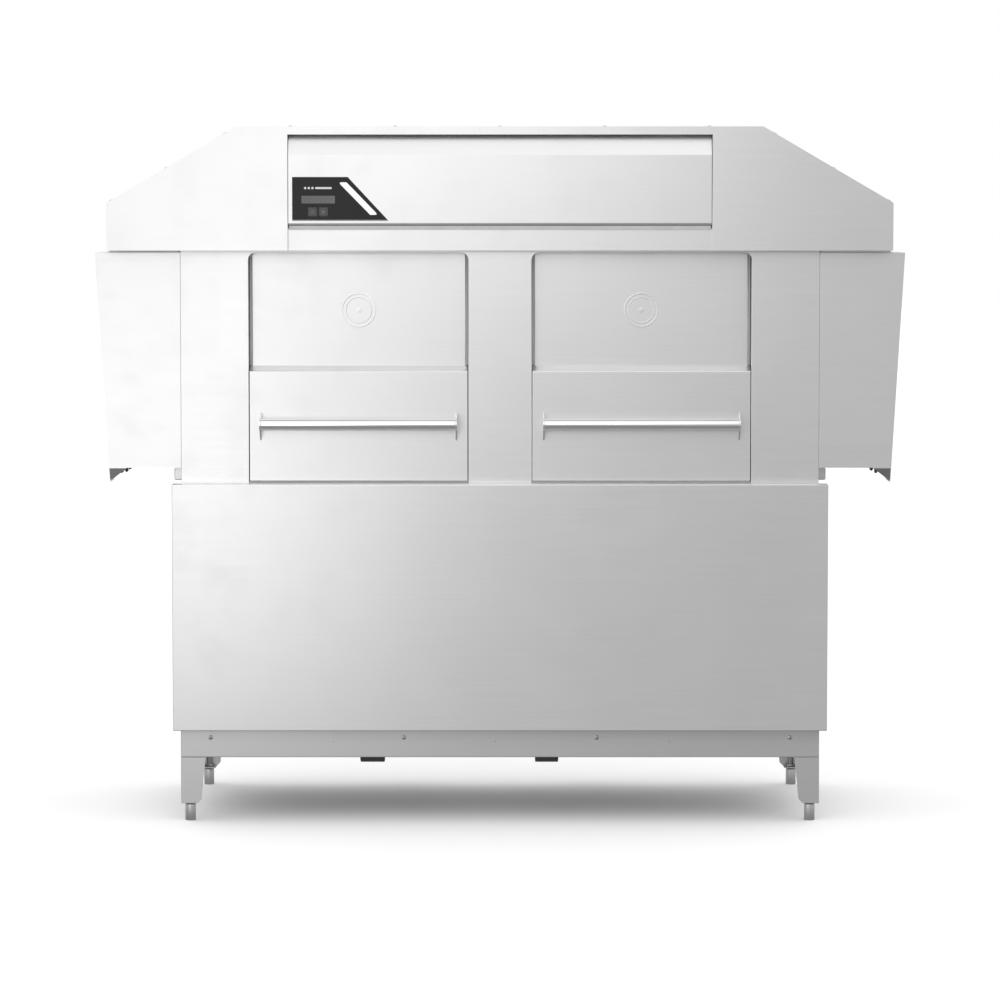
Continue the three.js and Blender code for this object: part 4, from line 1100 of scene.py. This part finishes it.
def makePumps(s):
    toX = facing((1, 0, 0))
    for side, sign in sides:
        name = "pump_" + side
        x, width = pumpPlaces[side]["x"], pumpPlaces[side]["width"]
        profile = [(0, 0), (0.045, 0), (0.05, 0.006), (0.066, 0.009), (0.072, 0.0), (s["volute"], 0.0),
                   (s["volute"], width), (0.07, width), (0, width)]
        volute = turnedEased(profile, 0.0024, 64) @ toX.T + (x, 0, s["z"])
        bolt = hexHead(0.013, 0.007)
        t = np.linspace(0, 2 * np.pi, s["bolts"], endpoint=False) + np.pi / 8
        ring = np.stack([np.full(len(t), x), s["boltRing"] * np.cos(t), s["z"] + s["boltRing"] * np.sin(t)],
                        1)
        sheets = [closed(volute), closed(placed(bolt, ring, (-1, 0, 0)))]
        sheets.append(closed(placed(bolt, ring + (width, 0, 0), (1, 0, 0))))
        end, core = s["length"], s["core"]
        stations = np.array([(0, 0), (0.05, 0), (0.05, 0.02), (core, 0.022), (core, 0.13), (0.052, 0.132),
                             (0.057, 0.135),
                             (s["motor"], 0.138), (s["motor"], 0.178), (0.055, 0.186), (0.045, end),
                             (0.036, end), (0.036, end - 0.004),
                             (0.03, end - 0.004), (0.03, end), (0, end)])
        motor = finned(stations, 240, 30, slice(3, 5), s["fin"] / core) @ toX.T + (x + width, 0, s["z"])
        sheets.append(closed(motor))
        boxX = x + width + 0.08
        box = plateSheet(roundedRect(0.075, 0.05, 0.006), 0.026, 0.002) + (boxX, 0, s["z"] + 0.045)
        lid = plateSheet(roundedRect(0.079, 0.054, 0.006), 0.004, 0.001) + (boxX, 0, s["z"] + 0.0705)
        sheets += [closed(box), closed(lid)]
        sump = x - s["offset"]
        intake = bentRoute([(x + 0.01, 0, s["z"]), (sump, 0, s["z"]), (sump, 0, 0.5597)], 0.05, 14)
        sheets.append(closed(tubeSheet(intake, s["suction"], 36)))
        across = x + width / 2
        feed = sign * 0.415
        outlet = bentRoute([(across, s["outletY"], s["z"]), (across, s["outletY"], s["outletZ"]),
                            (feed, s["outletY"], s["outletZ"]),
                            (feed, s["riserY"], s["outletZ"]), (feed, s["riserY"], s["joint"])], 0.035, 12)
        sheets.append(closed(tubeSheet(outlet, s["outlet"], 32)))
        suctionCollar = collar(s["suction"] + 0.0045, 0.014)
        sheets.append(closed(placed(suctionCollar, [(sump, 0, 0.545)])))
        outletCollar = collar(s["outlet"] + 0.0045, 0.014)
        joints = [(across, s["outletY"], s["z"] + 0.112), (feed, s["riserY"], s["joint"] - 0.0145)]
        sheets.append(closed(placed(outletCollar, joints)))
        makePiece("casing_" + name, sheets, "castBlack", "machine", "pump_casting", (name,), 40)


makePumps(pumpDetail)

drainDetail = {"radius": 0.024, "z": 0.126, "y": 0.13, "end": 0.42}


def makeDrains(s):
    for side, _ in sides:
        name = "drain_pipe_" + side
        low, high = boxOf(name)
        x = (low[0] + high[0]) / 2
        route = bentRoute([(x, s["y"], high[2]), (x, s["y"], s["z"]), (x, s["end"], s["z"])], 0.05, 14)
        sheets = [closed(tubeSheet(route, s["radius"], 40))]
        ring = collar(s["radius"] + 0.0035, 0.026)
        sheets.append(closed(placed(ring, [(x, s["y"], s["z"] + 0.05), (x, s["y"], high[2] - 0.03)])))
        sheets.append(closed(placed(ring, [(x, s["y"] + 0.05, s["z"])], (0, 1, 0))))
        z = np.linspace(0, 0.022, 90)
        thread = s["radius"] + 0.0007 * np.sin(2 * np.pi * z / 0.0028) + 0.0006
        profile = np.concatenate([[(s["radius"] - 0.003, 0.0)], np.stack([thread, z], 1),
                                  [(s["radius"] - 0.004, 0.022)]])
        sheets.append(closed(placed(turned(profile, 40), [(x, s["end"] - 0.0225, s["z"])], (0, 1, 0))))
        makePiece("plumbing_" + name, sheets, "drainPlastic", "machine", "drain_plastic", (name,))


makeDrains(drainDetail)

boosterDetail = {"x": 0.6, "y": 0.125, "radius": 0.115, "inlet": 0.3, "outletZ": 0.52, "outletX": 0.748,
                 "bands": (0.3, 0.42, 0.54)}


def makeBooster(s):
    low, high = boxOf("booster_heater")
    top = high[2]
    r = s["radius"]
    turn = np.linspace(0, np.pi / 2, 12)
    dome = np.stack([r - 0.03 + 0.03 * np.cos(turn), top - 0.03 + 0.03 * np.sin(turn)], 1)
    profile = np.concatenate([[(0, low[2]), (r - 0.001, low[2]), (r, low[2] + 0.002)], dome, [(0, top)]])
    sheets = [closed(turned(profile, 72) + (s["x"], s["y"], 0))]
    band = turnedEased([(r - 0.001, 0), (r + 0.0015, 0), (r + 0.0015, 0.012), (r - 0.001, 0.012)], 0.0005,
                       72)
    sheets.append(closed(placed(band, [(s["x"], s["y"], z) for z in s["bands"]])))
    feed = straight((s["x"], s["y"] + r - 0.004, s["inlet"]), (s["x"], high[1], s["inlet"]))
    outlet = straight((s["x"] + r - 0.004, s["y"], s["outletZ"]), (s["outletX"], s["y"], s["outletZ"]))
    sheets += [closed(tubeSheet(feed, 0.011, 28)), closed(tubeSheet(outlet, 0.014, 28))]
    nut = hexHead(0.034, 0.016)
    sheets.append(closed(placed(nut, [(s["x"], s["y"] + r + 0.02, s["inlet"])], (0, 1, 0))))
    sheets.append(closed(placed(collar(0.0135, 0.02), [(s["x"], high[1] - 0.0205, s["inlet"])], (0, 1, 0))))
    sheets.append(closed(placed(hexHead(0.05, 0.014), [(s["x"], s["y"], top - 0.001)])))
    makePiece("vessel_booster_heater", sheets, "chamberSteel", *chamber, ("booster_heater",))


makeBooster(boosterDetail)

gearDetail = {"x": 0.64, "z": 0.4, "box": 0.05, "front": -0.398, "back": -0.338, "motor": 0.046,
              "motorY": -0.351, "fin": 0.12}


def makeGearmotor(s):
    x, z = s["x"], s["z"]
    depth = s["back"] - s["front"]
    case = plateSheet(roundedRect(2 * s["box"], 0.12, 0.014), depth, 0.003)
    sheets = [closed(onFront(case, (x, s["back"], z)))]
    rib = plateSheet(roundedRect(2 * s["box"] - 0.03, 0.004, 0.0015), 0.0012, 0.0004)
    ribs = z + np.linspace(-0.04, 0.04, 6)
    sheets += [closed(onFront(rib, (x, s["front"] + 0.0002, ribZ))) for ribZ in ribs]
    sheets.append(closed(onFront(plateSheet(roundedRect(0.09, 0.192, 0.004), 0.008, 0.001),
                                 (x, -0.348, 0.3435))))
    sole = plateSheet(roundedRect(0.12, 0.036, 0.003), 0.0057, 0.001) + (x, -0.338, 0.2473)
    sheets.append(closed(sole))
    stations = np.array([(0, 0), (0.039, 0), (0.04, 0.002), (0.04, 0.11), (0.041, 0.112), (0.045, 0.114),
                         (s["motor"], 0.118),
                         (s["motor"], 0.15), (0.042, 0.16), (0, 0.16)])
    motor = finned(stations, 200, 26, slice(2, 4), s["fin"])
    sheets.append(closed(motor @ facing((-1, 0, 0)).T + (x - s["box"], s["motorY"], z - 0.01)))
    shaft = turnedEased([(0, 0), (0.01, 0), (0.01, 0.019), (0, 0.019)], 0.0008, 32)
    sheets.append(closed(placed(shaft, [(x, -0.339, z)], (0, 1, 0))))
    corners = [(x + dx, s["front"], z + dz) for dx in (-0.04, 0.04) for dz in (-0.05, 0.05)]
    sheets.append(closed(placed(hexHead(0.01, 0.0045), corners, (0, -1, 0))))
    makePiece("drive_gearmotor", sheets, "castBlack", "machine", "pump_casting", ("gearmotor",), 40)


makeGearmotor(gearDetail)
print("pumps, drains, heater and drive made")

# Smaller parts of the frame keep their shape, with softened edges.
plainNodes = {"fold": 0.0012, "edge": 0.0005}
for name in ("chamber_liner", "conveyor_carriage", "drive_lever", "rack_guide_front", "rack_guide_rear",
             "door_rail_centre", "control_panel"):
    softSheet(name, **plainNodes)
for side, _ in sides:
    for kind in ("tank", "pawl", "door_rail", "door_liner"):
        softSheet(f"{kind}_{side}", **plainNodes)
    softSheet("strainer_" + side, **plainNodes).data.materials[0] = materials["strainerSteel"]
print("inner steel finished")

# Dark three-cornered plates with eased edges under each shield, one on each gusset: painted shade, their
# dark colour stands in for the shade that falls in these corners.
gussetShadeDetail = {"wide": 0.046, "outer": 1.0235, "low": 0.9, "top": 0.9325, "thick": 0.0012}


def makeGussetShades(s):
    tip = shieldOut(shieldFace["hem"]) - 0.002
    outer, top = s["outer"], s["top"]
    for side, sign in sides:
        corners = [(sign * tip, s["low"]), (sign * outer, top), (sign * (outer - s["wide"]), top)]
        plate = onFront(plateSheet(roundedPolygon(corners, 0.0008, 4), s["thick"], 0.0003),
                        (0, -shieldFace["front"], 0))
        makePiece("gusset_shades_" + side, [closed(plate), closed(plate * (1, -1, 1))], "gussetShadeDark",
                  *cladding)


makeGussetShades(gussetShadeDetail)
print("corner guards made")

# Pale grey strips fill the gaps beside each upper door face, on the door sill, over each shield and under
# the fascia: their grey is painted shade, standing in for the shade seen in those gaps.
gapShadeDetail = {"centre": 0.3701, "beside": (0.2803, 0.2858), "upper": (1.201, 1.504), "sill": (0.894, 0.8985),
              "sillHalf": 0.287,
              "shield": (0.837, 1.02), "over": (1.4971, 1.5013), "under": (1.556, 1.5668),
              "fascia": (-0.549, 0.549), "thick": 0.006,
              "round": 0.0008, "ease": 0.0004,
              "backs": {"under": -0.3935, "sill": -0.3575, "over": -0.3585, "upper": -0.3165}}


def gapShadeStrip(s, x, kind):
    z = s[kind]
    plate = plateSheet(roundedRect(abs(x[1] - x[0]), z[1] - z[0], s["round"]), s["thick"], s["ease"])
    return closed(onFront(plate, ((x[0] + x[1]) / 2, s["backs"][kind], (z[0] + z[1]) / 2)))


def makeGapShades(s):
    fixed = [gapShadeStrip(s, s["fascia"], "under")]
    for side, sign in sides:
        middle = sign * s["centre"]
        fixed.append(gapShadeStrip(s, (middle - s["sillHalf"], middle + s["sillHalf"]), "sill"))
        fixed.append(gapShadeStrip(s, [sign * x for x in s["shield"]], "over"))
        edges = [gapShadeStrip(s, [middle + way * x for x in s["beside"]], "upper") for way in (-1, 1)]
        makePiece("door_edge_gap_shades_" + side, edges, "gapShadeGrey", "door_" + side, "curtain_rubber")
    makePiece("sheet_gap_shades", fixed, "gapShadeGrey", "machine", "curtain_rubber")


makeGapShades(gapShadeDetail)
print("seal strips made")
